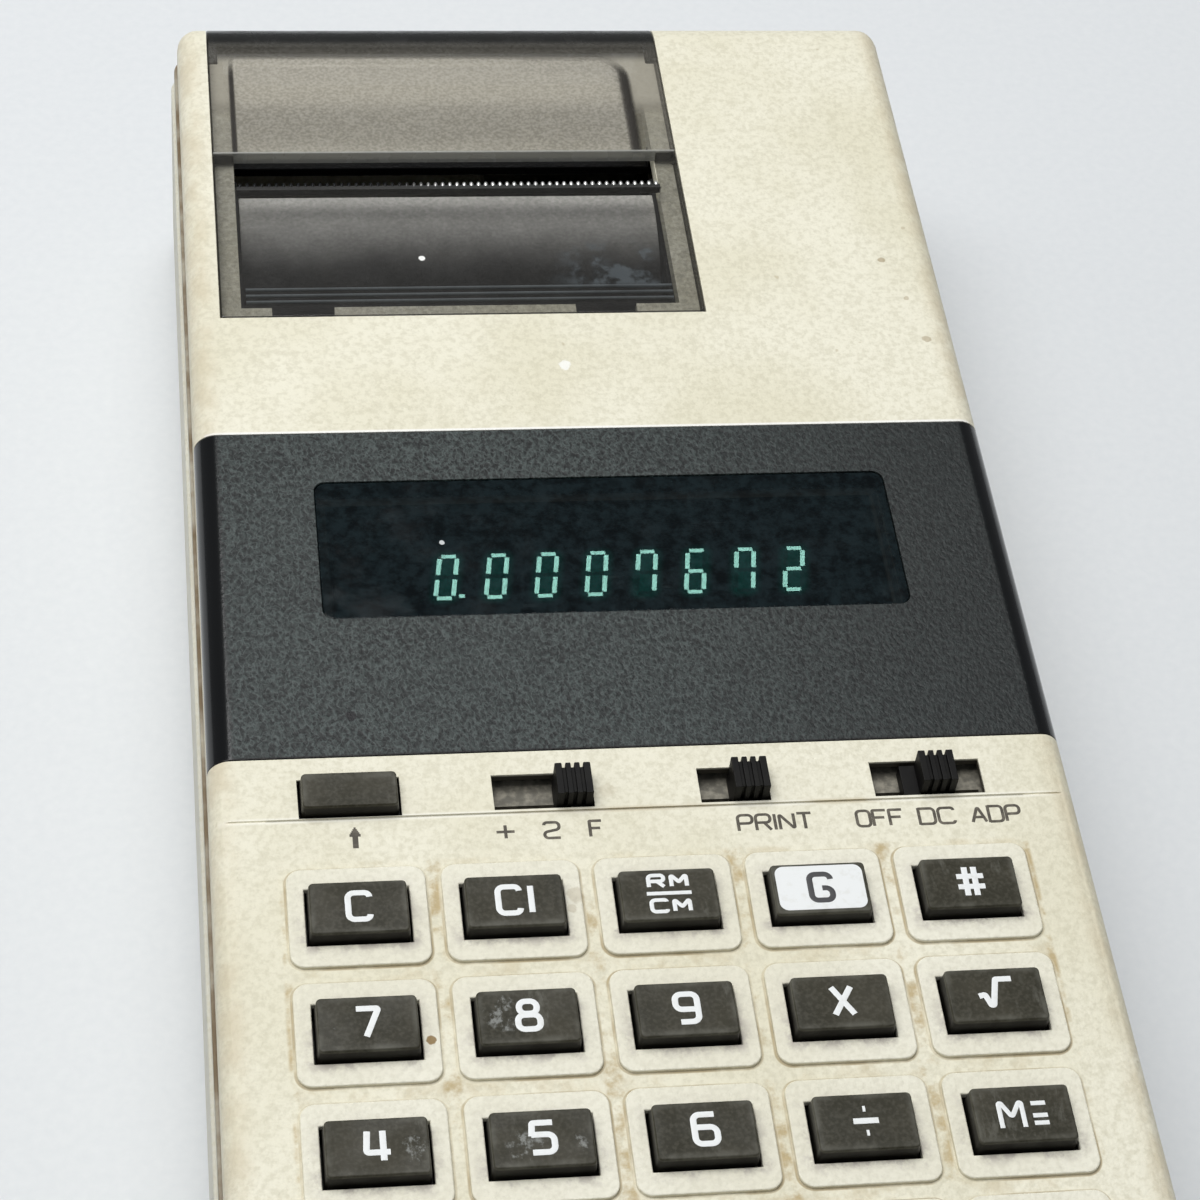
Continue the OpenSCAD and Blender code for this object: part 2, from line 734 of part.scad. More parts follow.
// Hinged cover: flat, rounded down at the back, with an ear at each side for its pin
module paper_cover() {
    color(SMOKE) difference() {
        union() {
            block([cover_x0 + seat_gap, split_y + seat_gap, deck_z - cover_t],
                [cover_x1 - seat_gap, hinge_y, deck_z]);
            intersection() {
                difference() {
                    rod_x(back_r, cover_x0 + seat_gap, cover_x1 - seat_gap, hinge_y, hinge_z);
                    rod_x(back_r - cover_t, cover_x0 + seat_gap + ear_t, cover_x1 - seat_gap - ear_t,
                        hinge_y, hinge_z);
                }
                union() {
                    block([cover_x0, hinge_y, hinge_z], [cover_x1, half_l + past, deck_z + past]);
                    for (x = [cover_x0 + seat_gap, cover_x1 - seat_gap - ear_t])
                        rod_x(back_r / 2, x, x + ear_t, hinge_y, hinge_z);
                }
            }
            for (x = [cover_x0 + seat_gap, cover_x1 - seat_gap - ear_t])
                block([x, hinge_y - back_r / 2, hinge_z], [x + ear_t, hinge_y, deck_z - cover_t / 2]);
        }
        rod_x(hinge_pin_r + fit_gap, cover_x0 - past, cover_x1 + past, hinge_y, hinge_z);
    }
}

module cover_hinge_pins() {
    color(STEEL) for (x = [cover_x0 - hinge_bite, cover_x1 + hinge_bite - hinge_pin_l])
        rod_x(hinge_pin_r, x, x + hinge_pin_l, hinge_y, hinge_z);
}

// Sloping floor that leads paper in from the back, with side walls up to the ledge
module paper_chute() {
    x0 = cover_x0 + ledge;
    x1 = cover_x1 - ledge;
    color(CREAM) {
        along_x(x0 - chute_wall, x1 + chute_wall) polygon([
            [chute_y0, chute_z(chute_y0)], [half_l, chute_z(half_l)], [chute_y1, chute_z(half_l)],
            [chute_y1, inlet_z], [half_l, inlet_z], [chute_y0, chute_z(chute_y0) - chute_t]
        ]);
        for (x = [x0 - chute_wall, x1]) along_x(x, x + chute_wall) polygon([
            [chute_y0, chute_z(chute_y0) - chute_t], [chute_y0, frame_top],
            [chute_wall_y1, frame_top], [chute_wall_y1, chute_z(chute_wall_y1) - chute_t]
        ]);
    }
}

// Quarter-round plate that the printed paper climbs towards the exit
module paper_guide() {
    color(GREY) translate([plate_x0 + plate_t + seat_gap, guide_y, guide_z]) rotate([90, 0, 90])
        linear_extrude(inner_w - 2 * seat_gap) intersection() {
            difference() {
                circle(guide_r, $fn = 96);
                circle(guide_r - guide_t, $fn = 96);
            }
            translate([-2 * guide_r, guide_cut]) square([2 * guide_r + guide_lip, guide_r]);
        }
}

// Printer mechanism
module printer_frame() {
    motor_y1 = pinion_y + motor_d / 2;
    low_z = platen_z + head_h / 2;
    guide_ledge = 1.6;
    rails = 3;
    rail_t = 0.7;
    rail_pitch = 1.1;
    rail_step = 0.5;
    rail_y = bay_y0 + front_border + 2 * sweep_gap;
    color(GREY) difference() {
        union() {
            for (x = [plate_x0, plate_x1]) {
                block([x, frame_y0, floor_z], [x + plate_t, frame_y1, low_z]);
                block([x, bay_y0, floor_z], [x + plate_t, frame_y1, frame_top]);
            }
            block([plate_x0, frame_y0, floor_z], [plate_x1 + plate_t, frame_y1, floor_z + plate_t]);
            block([plate_x0, frame_y0, floor_z], [plate_x1 + plate_t, frame_y0 + plate_t, low_z]);
            // The right side plate reaches back to carry the motor
            block([plate_x1, bay_y0, floor_z], [plate_x1 + plate_t, motor_y1, pinion_z + motor_d / 2]);
            rod_x(stud_r, plate_x1, gear_x + gear_w + shaft_end, idler_y, idler_z);
            // Stepped rails across the front, behind the window's border
            for (i = [0:rails - 1])
                translate([0, rail_y + i * rail_pitch, frame_top - i * rail_step])
                    block([plate_x0 + plate_t - root, 0, -rail_t], [plate_x1 + root, rail_t, 0]);
            // Ledges that the curved guide lies on
            for (x = [plate_x0 + plate_t - root, plate_x1 + root - guide_ledge])
                block([x, guide_y - guide_rest, guide_rest_z - guide_ledge],
                    [x + guide_ledge, guide_y - root, guide_rest_z]);
        }
        rod_x(shaft_d / 2 + run_gap, plate_x0 - past, plate_x1 + plate_t + past, platen_y, platen_z);
        rod_x(motor_shaft_r + sweep_gap, plate_x1 - past, plate_x1 + plate_t + past, pinion_y, pinion_z);
    }
}

module platen_roller() {
    color(RUBBER) difference() {
        rod_x(platen_d / 2, plate_x0 + plate_t + roller_end, plate_x1 - roller_end, platen_y, platen_z);
        rod_x(shaft_d / 2 + fit_gap, plate_x0, plate_x1, platen_y, platen_z);
    }
}

module platen_shaft() {
    color(STEEL)
        rod_x(shaft_d / 2, plate_x0 - shaft_end, gear_x + gear_w + shaft_end, platen_y, platen_z);
}

// Involute wheel with a bore, its axis along X
function roll(a) = tan(a) * 180 / PI - a;
module gear_wheel(teeth, bore_r, turn, y, z) {
    pitch_r = gear_m * teeth / 2;
    pressure = 20;
    backlash = 0.09;
    steps = 3;
    flank_r = pitch_r * cos(pressure);
    tip_r = pitch_r + 0.8 * gear_m;
    root_r = pitch_r - 1.15 * gear_m;
    slack = backlash / pitch_r * 90 / PI;
    function half_angle(r) = 90 / teeth + roll(pressure) - roll(acos(min(1, flank_r / r))) - slack;
    radii = [for (i = [0:steps]) max(flank_r, root_r) + (tip_r - max(flank_r, root_r)) * i / steps];
    flank = concat([[root_r, half_angle(flank_r)]], [for (r = radii) [r, half_angle(r)]]);
    points = [
        for (t = [0:teeth - 1], s = [-1, 1], i = [0:len(flank) - 1])
            let (f = flank[s < 0 ? i : len(flank) - 1 - i], a = t * 360 / teeth + s * f[1])
                [f[0] * cos(a), f[0] * sin(a)]
    ];
    translate([gear_x, y, z]) rotate([90, 0, 90]) difference() {
        linear_extrude(gear_w) rotate(turn) polygon(points);
        translate([0, 0, -past]) cylinder(r = bore_r, h = gear_w + 2 * past);
    }
}

module platen_gear() {
    color(GEAR_WHITE) gear_wheel(platen_teeth, shaft_d / 2 + fit_gap, platen_turn, platen_y, platen_z);
}

module idler_gear() {
    color(GEAR_WHITE) gear_wheel(idler_teeth, stud_r + run_gap, idler_turn, idler_y, idler_z);
}

module motor_pinion() {
    color(STEEL) {
        gear_wheel(pinion_teeth, motor_shaft_r - root, pinion_turn, pinion_y, pinion_z);
        rod_x(motor_shaft_r, plate_x1 - shaft_bite, gear_x + gear_w, pinion_y, pinion_z);
    }
}

module print_motor() {
    color(STEEL) difference() {
        union() {
            rod_x(motor_d / 2, motor_x, plate_x1, pinion_y, pinion_z);
            rod_x(motor_boss_r, motor_x - motor_boss_l, plate_x1, pinion_y, pinion_z);
        }
        rod_x(motor_shaft_r + run_gap, plate_x1 - shaft_bite - past, plate_x1 + past, pinion_y, pinion_z);
    }
}

module print_head() {
    x0 = plate_x0 + plate_t + roller_end;
    x1 = plate_x1 - roller_end;
    fin_pitch = 3;
    fin_gap = 1.2;
    plate = 2;
    color(STEEL) difference() {
        block([x0, head_y, platen_z - head_h / 2], [x1, head_y + head_t, platen_z + head_h / 2]);
        for (i = [-1:1])
            block([x0 - past, head_y - past, platen_z + i * fin_pitch - fin_gap / 2],
                [x1 + past, head_y + head_t - plate, platen_z + i * fin_pitch + fin_gap / 2]);
    }
}

// Bowed leaf that pushes the head against the platen
module head_spring() {
    span = 20;
    rise = head_y - frame_y0 - plate_t - 2 * seat_gap;
    r = (span * span + rise * rise) / (2 * rise);
    mid_x = (plate_x0 + plate_x1 + plate_t) / 2;
    color(STEEL) translate([mid_x, head_y - seat_gap - r, platen_z - spring_w / 2])
        linear_extrude(spring_w) intersection() {
            difference() {
                circle(r, $fn = 96);
                circle(r - spring_t, $fn = 96);
            }
            translate([-span, r - rise]) square([2 * span, rise]);
        }
}

// Side view of a cap's top, drawn in by the taper
module tapered(w, z0, z1) {
    polygon([
        [-w / 2, z0 - root], [w / 2, z0 - root], [w / 2, z0],
        [w / 2 - cap_taper, z1], [-w / 2 + cap_taper, z1], [-w / 2, z0]
    ]);
}

// Keys and switches
module key_piece(x, y, w, l, top_z) {
    neck_z = top_z - cap_h + root;
    translate([x - w / 2, y - l / 2, flange_z]) cube([w, l, neck_z - flange_z]);
    intersection() {
        translate([x, 0, 0]) along_y(y - l / 2, y + l / 2) tapered(w, neck_z, top_z);
        translate([0, y, 0]) along_x(x - w / 2, x + w / 2) tapered(l, neck_z, top_z);
    }
    translate([x - w / 2 - flange_edge, y - l / 2 - flange_edge, flange_z])
        cube([w + 2 * flange_edge, l + 2 * flange_edge, flange_t]);
    translate([x, y, plunger_z]) cylinder(r = plunger_r, h = plunger_l + root);
}

module key_cap(i) {
    top_z = deck_z + pad_h + cap_h;
    color(CAP_BROWN) key_piece(col_x(i % cols), row_y(floor(i / cols)), cap_w, cap_l, top_z);
}

module feed_key() {
    color(CAP_BROWN) key_piece(feed_x, switch_y, cap_w, feed_l, deck_z + cap_h);
}

// A knob whose base fills the slot's width, with a ridged grip at its right and a stem below
module switch_knob(right_x, base_w) {
    l = slot_l - 2 * slide_gap;
    pitch = grip_w / ridges;
    color(KNOB_BLACK) {
        block([right_x - base_w, switch_y - l / 2, knob_base_z],
            [right_x, switch_y + l / 2, deck_z - shutter_d]);
        difference() {
            block([right_x - grip_w, switch_y - l / 2, knob_base_z],
                [right_x, switch_y + l / 2, deck_z + grip_h]);
            for (i = [1:ridges - 1])
                block([right_x - i * pitch - ridge_d / 2, switch_y - l, deck_z + ridge_foot],
                    [right_x - i * pitch + ridge_d / 2, switch_y + l, deck_z + grip_h + past]);
            for (i = [1:ridges - 1], s = [-1, 1])
                translate([right_x - i * pitch, switch_y + s * l / 2, 0])
                    block([-ridge_d / 2, -ridge_d, deck_z - ridge_foot],
                        [ridge_d / 2, ridge_d, deck_z + grip_h]);
        }
        // The grip's core, between the grooves
        block([right_x - grip_w, switch_y - l / 2 + ridge_d, knob_base_z],
            [right_x, switch_y + l / 2 - ridge_d, deck_z + grip_h - ridge_d]);
        block([right_x - base_w / 2 - stem_w / 2, stem_y - stem_w / 2, knob_base_z - stem_l],
            [right_x - base_w / 2 + stem_w / 2, stem_y + stem_w / 2, knob_base_z + root]);
    }
}

module rounding_switch_knob() {
    switch_knob(rounding_x + rounding_slot_w / 2 - slide_gap, grip_w);
}

module print_switch_knob() {
    switch_knob(print_x + print_slot_w / 2 - slide_gap, grip_w);
}

module power_switch_knob() {
    switch_knob(power_x + power_base_w / 2, power_base_w);
}

module switch_bodies() {
    body_l = slot_l + 2 * body_edge;
    color(GREY) for (s = switch_slots)
        difference() {
            block([s[0] - s[1] / 2 - body_end, switch_y - body_l / 2, key_board_z],
                [s[0] + s[1] / 2 + body_end, switch_y + body_l / 2, under_deck_z - seat_gap / 2]);
            block([s[0] - s[1] / 2, stem_y - stem_w / 2 - slide_gap, knob_base_z - stem_l - seat_gap],
                [s[0] + s[1] / 2, stem_y + stem_w / 2 + slide_gap, deck_z]);
        }
}

// Boards and what they carry
module key_dome_sheet() {
    edge = dome_r + sheet_edge;
    w = 2 * (col_x(cols - 1) + edge);
    color(SILICONE) difference() {
        union() {
            block([-w / 2, row_y(rows - 1) - edge, key_board_z],
                [w / 2, row_y(0) + edge, key_board_z + sheet_t]);
            block([feed_x - edge, row_y(0), key_board_z],
                [feed_x + edge, switch_y + dome_r, key_board_z + sheet_t]);
            for (c = [0:cols - 1], r = [0:rows - 1]) dome(col_x(c), row_y(r));
            dome(feed_x, switch_y);
        }
        for (p = post_places) translate([p[0], p[1], key_board_z - past])
            cylinder(r = post_r + slide_gap, h = sheet_t + 2 * past);
    }
}

module dome(x, y) {
    translate([x, y, key_board_z + sheet_t - root])
        cylinder(r1 = dome_r, r2 = plunger_r, h = dome_h + root);
}

module key_board() {
    y0 = row_y(rows - 1) - dome_r - sheet_edge;
    y1 = band_y0 - board_edge;
    color(BOARD_GREEN) difference() {
        block([-key_board_w / 2, y0, key_board_z - board_t], [key_board_w / 2, y1, key_board_z]);
        for (p = post_places) translate([p[0], p[1], key_board_z - 2 * board_t])
            cylinder(r = peg_r + seat_gap, h = 3 * board_t);
        for (p = boss_places) translate([p[0], p[1], key_board_z - 2 * board_t])
            cylinder(r = boss_r + slide_gap, h = 3 * board_t);
    }
}

module logic_board() {
    color(BOARD_GREEN) difference() {
        block([-logic_board_w / 2, logic_board_y0, logic_board_z],
            [logic_board_w / 2, logic_board_y1, logic_board_z + board_t]);
        for (p = logic_posts) translate([p[0], p[1], logic_board_z - board_t])
            cylinder(r = peg_r + seat_gap, h = 3 * board_t);
    }
}

module board_components() {
    chip_t = 3.6;
    logic_w = 36;
    logic_l = 13;
    logic_y = 14.5;
    driver_w = 18;
    driver_l = 7;
    driver_y = 30.5;
    driver_x = 11;
    coil_w = 11;
    coil_t = 9;
    coil_x = 26.5;
    coil_y = 15.5;
    can_r = 3.5;
    can_h = 8;
    can_x = 27;
    can_y = 12;
    can_pitch = 10;
    color(EPOXY) {
        component(0, logic_y, logic_w, logic_l, chip_t);
        for (s = [-1, 1]) component(s * driver_x, driver_y, driver_w, driver_l, chip_t);
        component(-coil_x, coil_y, coil_w, coil_w, coil_t);
        for (i = [0, 1]) translate([can_x, logic_board_y0 + can_y + i * can_pitch, logic_board_z - can_h])
            cylinder(r = can_r, h = can_h);
    }
}

// A block under the logic board, placed from the board's front edge
module component(x, y, w, l, t) {
    translate([x - w / 2, logic_board_y0 + y - l / 2, logic_board_z - t]) cube([w, l, t]);
}

// Power
module batteries() {
    cap_r = 2.7;
    cap_l = 1.2;
    color(JACKET) for (i = [0:cells - 1])
        translate([(i - (cells - 1) / 2) * cell_pitch, box_y, cell_z])
            rotate([i % 2 == 0 ? 90 : -90, 0, 0]) {
                translate([0, 0, -cell_l / 2]) cylinder(r = cell_d / 2, h = cell_l - cap_l);
                translate([0, 0, cell_l / 2 - cap_l - root]) cylinder(r = cap_r, h = cap_l + root);
            }
}

module battery_contacts() {
    t = 0.4;
    plate = 11;
    coil = 5;
    color(STEEL) for (s = [-1, 1], i = [0:cells - 1])
        translate([(i - (cells - 1) / 2) * cell_pitch, box_y + s * box_l / 2, cell_z]) {
            translate([0, -s * (t / 2 + seat_gap), 0]) cube([plate, t, plate], center = true);
            translate([0, -s * (contact_l / 2 + t / 2), 0])
                cube([coil, contact_l - t - 2 * seat_gap, coil], center = true);
        }
}

module dc_jack() {
    color(KNOB_BLACK) difference() {
        union() {
            block([jack_x - jack_body / 2, half_l - wall - jack_l, floor_z],
                [jack_x + jack_body / 2, half_l - wall, jack_z + jack_body / 2]);
            translate([jack_x, half_l - wall - root, jack_z]) rotate([-90, 0, 0])
                cylinder(r = jack_nose_r, h = wall + lip + root);
        }
        translate([jack_x, half_l - wall - jack_l + jack_back, jack_z]) rotate([-90, 0, 0])
            cylinder(r = jack_d / 2, h = jack_l + wall + lip + past);
    }
}

upper_case();
lower_case();
battery_door();
feet();
case_screws();
display_bezel();
display_window();
display_tube();
print_window();
tear_bar();
paper_cover();
cover_hinge_pins();
paper_chute();
paper_guide();
printer_frame();
platen_roller();
platen_shaft();
platen_gear();
idler_gear();
print_motor();
motor_pinion();
print_head();
head_spring();
feed_key();
rounding_switch_knob();
print_switch_knob();
power_switch_knob();
switch_bodies();
key_dome_sheet();
key_board();
logic_board();
board_components();
batteries();
battery_contacts();
dc_jack();
for (i = [0:len(KEYS) - 1]) key_cap(i);
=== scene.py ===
# %% [markdown]
# # A palm-size printing calculator
# The CAD model gives every piece its size, place and motion. This lesson gives the pieces their looks:
# aged cream plastic, worn keys, smoked windows and a lit display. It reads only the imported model.

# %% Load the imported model
import json
import math

import bmesh
import bpy
from mathutils import Matrix, Vector


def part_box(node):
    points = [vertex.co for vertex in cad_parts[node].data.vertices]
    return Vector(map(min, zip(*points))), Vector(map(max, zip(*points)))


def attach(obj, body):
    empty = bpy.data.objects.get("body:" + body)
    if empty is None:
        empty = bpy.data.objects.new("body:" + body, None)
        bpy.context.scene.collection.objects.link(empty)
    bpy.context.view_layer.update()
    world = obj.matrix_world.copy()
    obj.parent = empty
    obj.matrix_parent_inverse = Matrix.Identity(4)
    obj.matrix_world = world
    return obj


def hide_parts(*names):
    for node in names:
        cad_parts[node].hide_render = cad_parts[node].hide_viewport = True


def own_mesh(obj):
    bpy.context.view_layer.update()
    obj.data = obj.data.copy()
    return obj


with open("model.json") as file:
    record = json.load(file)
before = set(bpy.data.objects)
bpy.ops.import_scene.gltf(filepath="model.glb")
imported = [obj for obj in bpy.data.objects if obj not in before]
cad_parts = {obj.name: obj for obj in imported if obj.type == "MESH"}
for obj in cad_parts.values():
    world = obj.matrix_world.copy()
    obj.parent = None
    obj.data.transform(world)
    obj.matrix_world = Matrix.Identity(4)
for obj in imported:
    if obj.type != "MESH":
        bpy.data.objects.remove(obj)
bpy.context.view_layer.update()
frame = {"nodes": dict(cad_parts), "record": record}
MM = 0.001
DECK_Z = 37.5 * MM
BODY_OF = {node: body for body, nodes in frame["record"]["behaviour"]["bodies"].items() for node in nodes}


def mm(*lengths):
    """Lengths given in millimetres, in metres."""
    return [length * MM for length in lengths]


def add_object(name, data):
    obj = bpy.data.objects.new(name, data)
    bpy.context.scene.collection.objects.link(obj)
    return obj


# %% [markdown]
# ## The camera
# The photograph was taken close by, from the front left and from above. The camera's place, turn and lens
# were fitted to the grid of keys, so the render lines up with the photograph. The picture has the object
# cut off at the right and at the bottom.

# %% Camera
CAMERA_PLACE = Vector((-0.04918, -0.20517, 0.28553))
CAMERA_RIGHT = Vector((0.9893, -0.1129, 0.0925))
CAMERA_FORWARD = Vector((0.1435, 0.6381, -0.7565))
DECK_MIDDLE = Vector((0, 0, DECK_Z))
LENS, SENSOR = 93.57, 36
camera_data = bpy.data.cameras.new("photo_camera")
camera_data.sensor_width = SENSOR
camera_data.lens = LENS
camera_data.clip_start = 0.01
camera = add_object("photo_camera", camera_data)
back = -CAMERA_FORWARD.normalized()
right = (CAMERA_RIGHT - back * CAMERA_RIGHT.dot(back)).normalized()
turn = Matrix((right, back.cross(right), back)).transposed()
camera.matrix_world = Matrix.Translation(CAMERA_PLACE) @ turn.to_4x4()
bpy.context.scene.camera = camera
print("camera", round((CAMERA_PLACE - DECK_MIDDLE).length, 3), "m from the middle of the deck")

# %% [markdown]
# ## Finishes from nodes
# Every finish here starts from the Principled shader and the piece's own coordinates in metres. This small
# class gives short names to the nodes that most finishes need: noise of a given size in millimetres, a soft
# step, a colour mix, a bump, and products of masks. A rounded-box distance draws dirt round the keys without
# any picture.


# %% A helper for node materials
class Finish:
    def __init__(self, name, roughness, specular):
        self.material = bpy.data.materials.new(name)
        self.material.use_nodes = True
        self.nodes = self.material.node_tree.nodes
        self.links = self.material.node_tree.links
        self.shader = self.nodes["Principled BSDF"]
        self.set("Roughness", roughness)
        self.set("Specular IOR Level", specular)
        self.place = self.nodes.new("ShaderNodeTexCoord").outputs["Object"]
        self.axes = self.top = None

    def feed(self, socket, value):
        if isinstance(value, bpy.types.NodeSocket):
            self.links.new(value, socket)
        elif isinstance(value, (tuple, list)) and len(value) == 3 and socket.type == "RGBA":
            socket.default_value = (*value, 1)
        else:
            socket.default_value = value

    def set(self, name, value):
        self.feed(self.shader.inputs[name], value)

    def coat(self, mask, *shades):
        """Lays a shade over the coats so far where the mask is 1. The first coat mixes two shades."""
        self.top = self.mix(mask, *(shades if len(shades) == 2 else (self.top, *shades)))
        self.set("Base Color", self.top)
        return self.material

    def math(self, operation, *values):
        node = self.nodes.new("ShaderNodeMath")
        node.operation = operation
        for socket, value in zip(node.inputs, values):
            self.feed(socket, value)
        return node.outputs[0]

    def chain(self, operation, *values):
        result = values[0]
        for value in values[1:]:
            result = self.math(operation, result, value)
        return result

    def both(self, *masks):
        """The product of masks, 1 where all of them are 1."""
        return self.chain("MULTIPLY", *masks)

    def most(self, *masks):
        """The highest of the masks at each point."""
        return self.chain("MAXIMUM", *masks)

    def axis(self, letter):
        if self.axes is None:
            self.axes = self.nodes.new("ShaderNodeSeparateXYZ")
            self.links.new(self.place, self.axes.inputs[0])
        return self.axes.outputs[letter]

    def off(self, letter, level):
        """How far a point is past a level on one axis, below 0 before it."""
        return self.math("SUBTRACT", self.axis(letter), level)

    def away(self, letter, level=0.0):
        """How far a point is from a level on one axis, on either side."""
        return self.math("ABSOLUTE", self.off(letter, level) if level else self.axis(letter))

    def noise(self, size, detail=3.0, roughness=0.55, stretch=(1, 1, 1), shift=(0, 0, 0)):
        mapping = self.nodes.new("ShaderNodeMapping")
        self.links.new(self.place, mapping.inputs["Vector"])
        mapping.inputs["Scale"].default_value = stretch
        mapping.inputs["Location"].default_value = shift
        node = self.nodes.new("ShaderNodeTexNoise")
        self.links.new(mapping.outputs[0], node.inputs["Vector"])
        node.inputs["Scale"].default_value = 1 / (size * MM)
        node.inputs["Detail"].default_value = detail
        node.inputs["Roughness"].default_value = roughness
        return node.outputs["Fac"]

    def step(self, value, start, end, low=0.0, high=1.0):
        node = self.nodes.new("ShaderNodeMapRange")
        node.interpolation_type = "SMOOTHSTEP"
        for name, number in (("Value", value), ("From Min", start), ("From Max", end),
                             ("To Min", low), ("To Max", high)):
            self.feed(node.inputs[name], number)
        return node.outputs["Result"]

    def ramp(self, value, start, end, low=0.0, high=1.0):
        """A soft step over a distance or along a named axis, with its ends in millimetres."""
        value = self.axis(value) if isinstance(value, str) else value
        return self.step(value, start * MM, end * MM, low, high)

    def over_deck(self, start, end, low=0.0, high=1.0):
        """A soft step over the height, with its ends in millimetres from the deck."""
        return self.step(self.axis("Z"), DECK_Z + start * MM, DECK_Z + end * MM, low, high)

    def mix(self, factor, first, second):
        node = self.nodes.new("ShaderNodeMix")
        node.data_type = "RGBA"
        self.feed(node.inputs["Factor"], factor)
        self.feed(node.inputs[6], first)
        self.feed(node.inputs[7], second)
        return node.outputs[2]

    def bump(self, height, depth):
        node = self.nodes.new("ShaderNodeBump")
        node.inputs["Distance"].default_value = depth * MM
        self.feed(node.inputs["Height"], height)
        self.links.new(node.outputs[0], self.shader.inputs["Normal"])

    def length(self, x, y):
        return self.math("SQRT", self.math("ADD", self.both(x, x), self.both(y, y)))

    def rounded_box(self, x, y, half_w, half_l, radius):
        """The distance from a rounded box's outline, below 0 inside it."""
        over_x = self.math("SUBTRACT", self.math("ABSOLUTE", x), half_w - radius)
        over_y = self.math("SUBTRACT", self.math("ABSOLUTE", y), half_l - radius)
        outside = self.length(self.most(over_x, 0.0), self.most(over_y, 0.0))
        inside = self.math("MINIMUM", self.most(over_x, over_y), 0.0)
        return self.math("SUBTRACT", self.math("ADD", outside, inside), radius)

    def fleck(self, x, y, radius):
        """1 inside a small ragged mark, 0 outside it, from its place and radius in millimetres."""
        radius = radius * MM
        gap = self.length(self.off("X", x * MM), self.off("Y", y * MM))
        wobble = self.both(self.noise(0.7, 2), radius)
        return self.step(self.math("SUBTRACT", gap, wobble), radius * 0.6, radius * 0.3)


def tint(red, green, blue):
    """A colour as a paint chart gives it, from 0 to 255, in the shader's linear light."""
    return tuple((v / 255 / 12.92) if v < 10.4 else ((v / 255 + 0.055) / 1.055) ** 2.4
                 for v in (red, green, blue))


print("a white of 255 is", tint(255, 255, 255))

# %% [markdown]
# ## Stage and light
# A pale floor and soft light from above and behind, as in the photograph: the deck and the key tops are
# bright, the key fronts are dark. The direction that the display mirrors towards the camera stays dark, so
# the window looks black. Away from the object the lamps fade, so the floor gives the eye some light of its
# own, a little near the object and more further off. It stays pale that way, without lighting the object.

# %% Floor and world
FLOOR_HALF, GLOW_START, GLOW_END, SKY_STRENGTH = 4, 0.3, 1.5, 0.29
floor_mesh = bpy.data.meshes.new("floor")
floor_mesh.from_pydata([(x * FLOOR_HALF, y * FLOOR_HALF, 0) for x, y in ((-1, -1), (1, -1), (1, 1), (-1, 1))],
                       [], [(0, 1, 2, 3)])
floor = add_object("floor", floor_mesh)
f = Finish("pale_floor", 0.7, 0.2)
floor_mesh.materials.append(f.coat(f.noise(1.2, 2), tint(214, 217, 219), tint(223, 225, 226)))
ray = f.nodes.new("ShaderNodeLightPath").outputs
seen = f.most(ray["Is Camera Ray"], ray["Is Glossy Ray"], ray["Is Transmission Ray"])
reach = f.nodes.new("ShaderNodeVectorMath")
reach.operation = "LENGTH"
f.links.new(f.place, reach.inputs[0])
f.set("Emission Color", tint(218, 221, 223))
f.set("Emission Strength", f.both(seen, f.step(reach.outputs["Value"], GLOW_START, GLOW_END, 0.09, 0.68)))

world = bpy.data.worlds.new("soft_room")
world.use_nodes = True
bpy.context.scene.world = world
sky = world.node_tree.nodes["Background"]
sky.inputs["Color"].default_value = (*tint(236, 240, 245), 1)
sky.inputs["Strength"].default_value = SKY_STRENGTH
bpy.context.scene.view_settings.view_transform = "Standard"
print("floor", 2 * FLOOR_HALF, "m wide")

# %% Lamps
LAMP_AIM = Vector((0, 0, 0.03))


def lamp(name, place, width, height, power):
    data = bpy.data.lights.new(name, "AREA")
    data.shape = "RECTANGLE"
    data.size, data.size_y = width, height
    data.energy = power
    obj = add_object(name, data)
    obj.location = place
    obj.rotation_mode = "QUATERNION"
    obj.rotation_quaternion = (LAMP_AIM - Vector(place)).to_track_quat("-Z", "Y")
    print(name, power, "W")


lamp("overhead_soft", (-0.17, 0.18, 0.8), 0.75, 0.5, 6.15)
lamp("left_fill", (-0.8, 0.1, 0.55), 0.5, 0.5, 0.4)

# %% [markdown]
# ## Making pieces from the CAD solids
# A CAD node's mesh has razor-sharp edges. Each visible piece is a copy of its node with the doubles merged,
# flat areas joined, and chosen edges rounded. The copy then stands for the node, on the node's own body.

# %% Helpers for pieces
MERGE, LEVEL_NORMAL = 0.002 * MM, 0.99998
FLAT_ANGLE, SHARP_ANGLE, SMOOTH_ANGLE = [math.radians(angle) for angle in (0.3, 25, 35)]


def node_copy(node):
    mesh = bmesh.new()
    mesh.from_mesh(frame["nodes"][node].data)
    bmesh.ops.remove_doubles(mesh, verts=mesh.verts, dist=MERGE)
    bmesh.ops.dissolve_limit(mesh, angle_limit=FLAT_ANGLE, verts=mesh.verts, edges=mesh.edges)
    return mesh


def bevel(mesh, edges, width, segments):
    bmesh.ops.bevel(mesh, geom=edges, offset=width, segments=segments, profile=0.5, affect="EDGES",
                    clamp_overlap=True)


def round_edges(mesh, width, chosen=lambda middle: True, segments=3):
    edges = [e for e in mesh.edges if len(e.link_faces) == 2 and e.is_convex
             and e.calc_face_angle(0) > SHARP_ANGLE
             and chosen((e.verts[0].co + e.verts[1].co) / 2)]
    bevel(mesh, edges, width, segments)
    return len(edges)


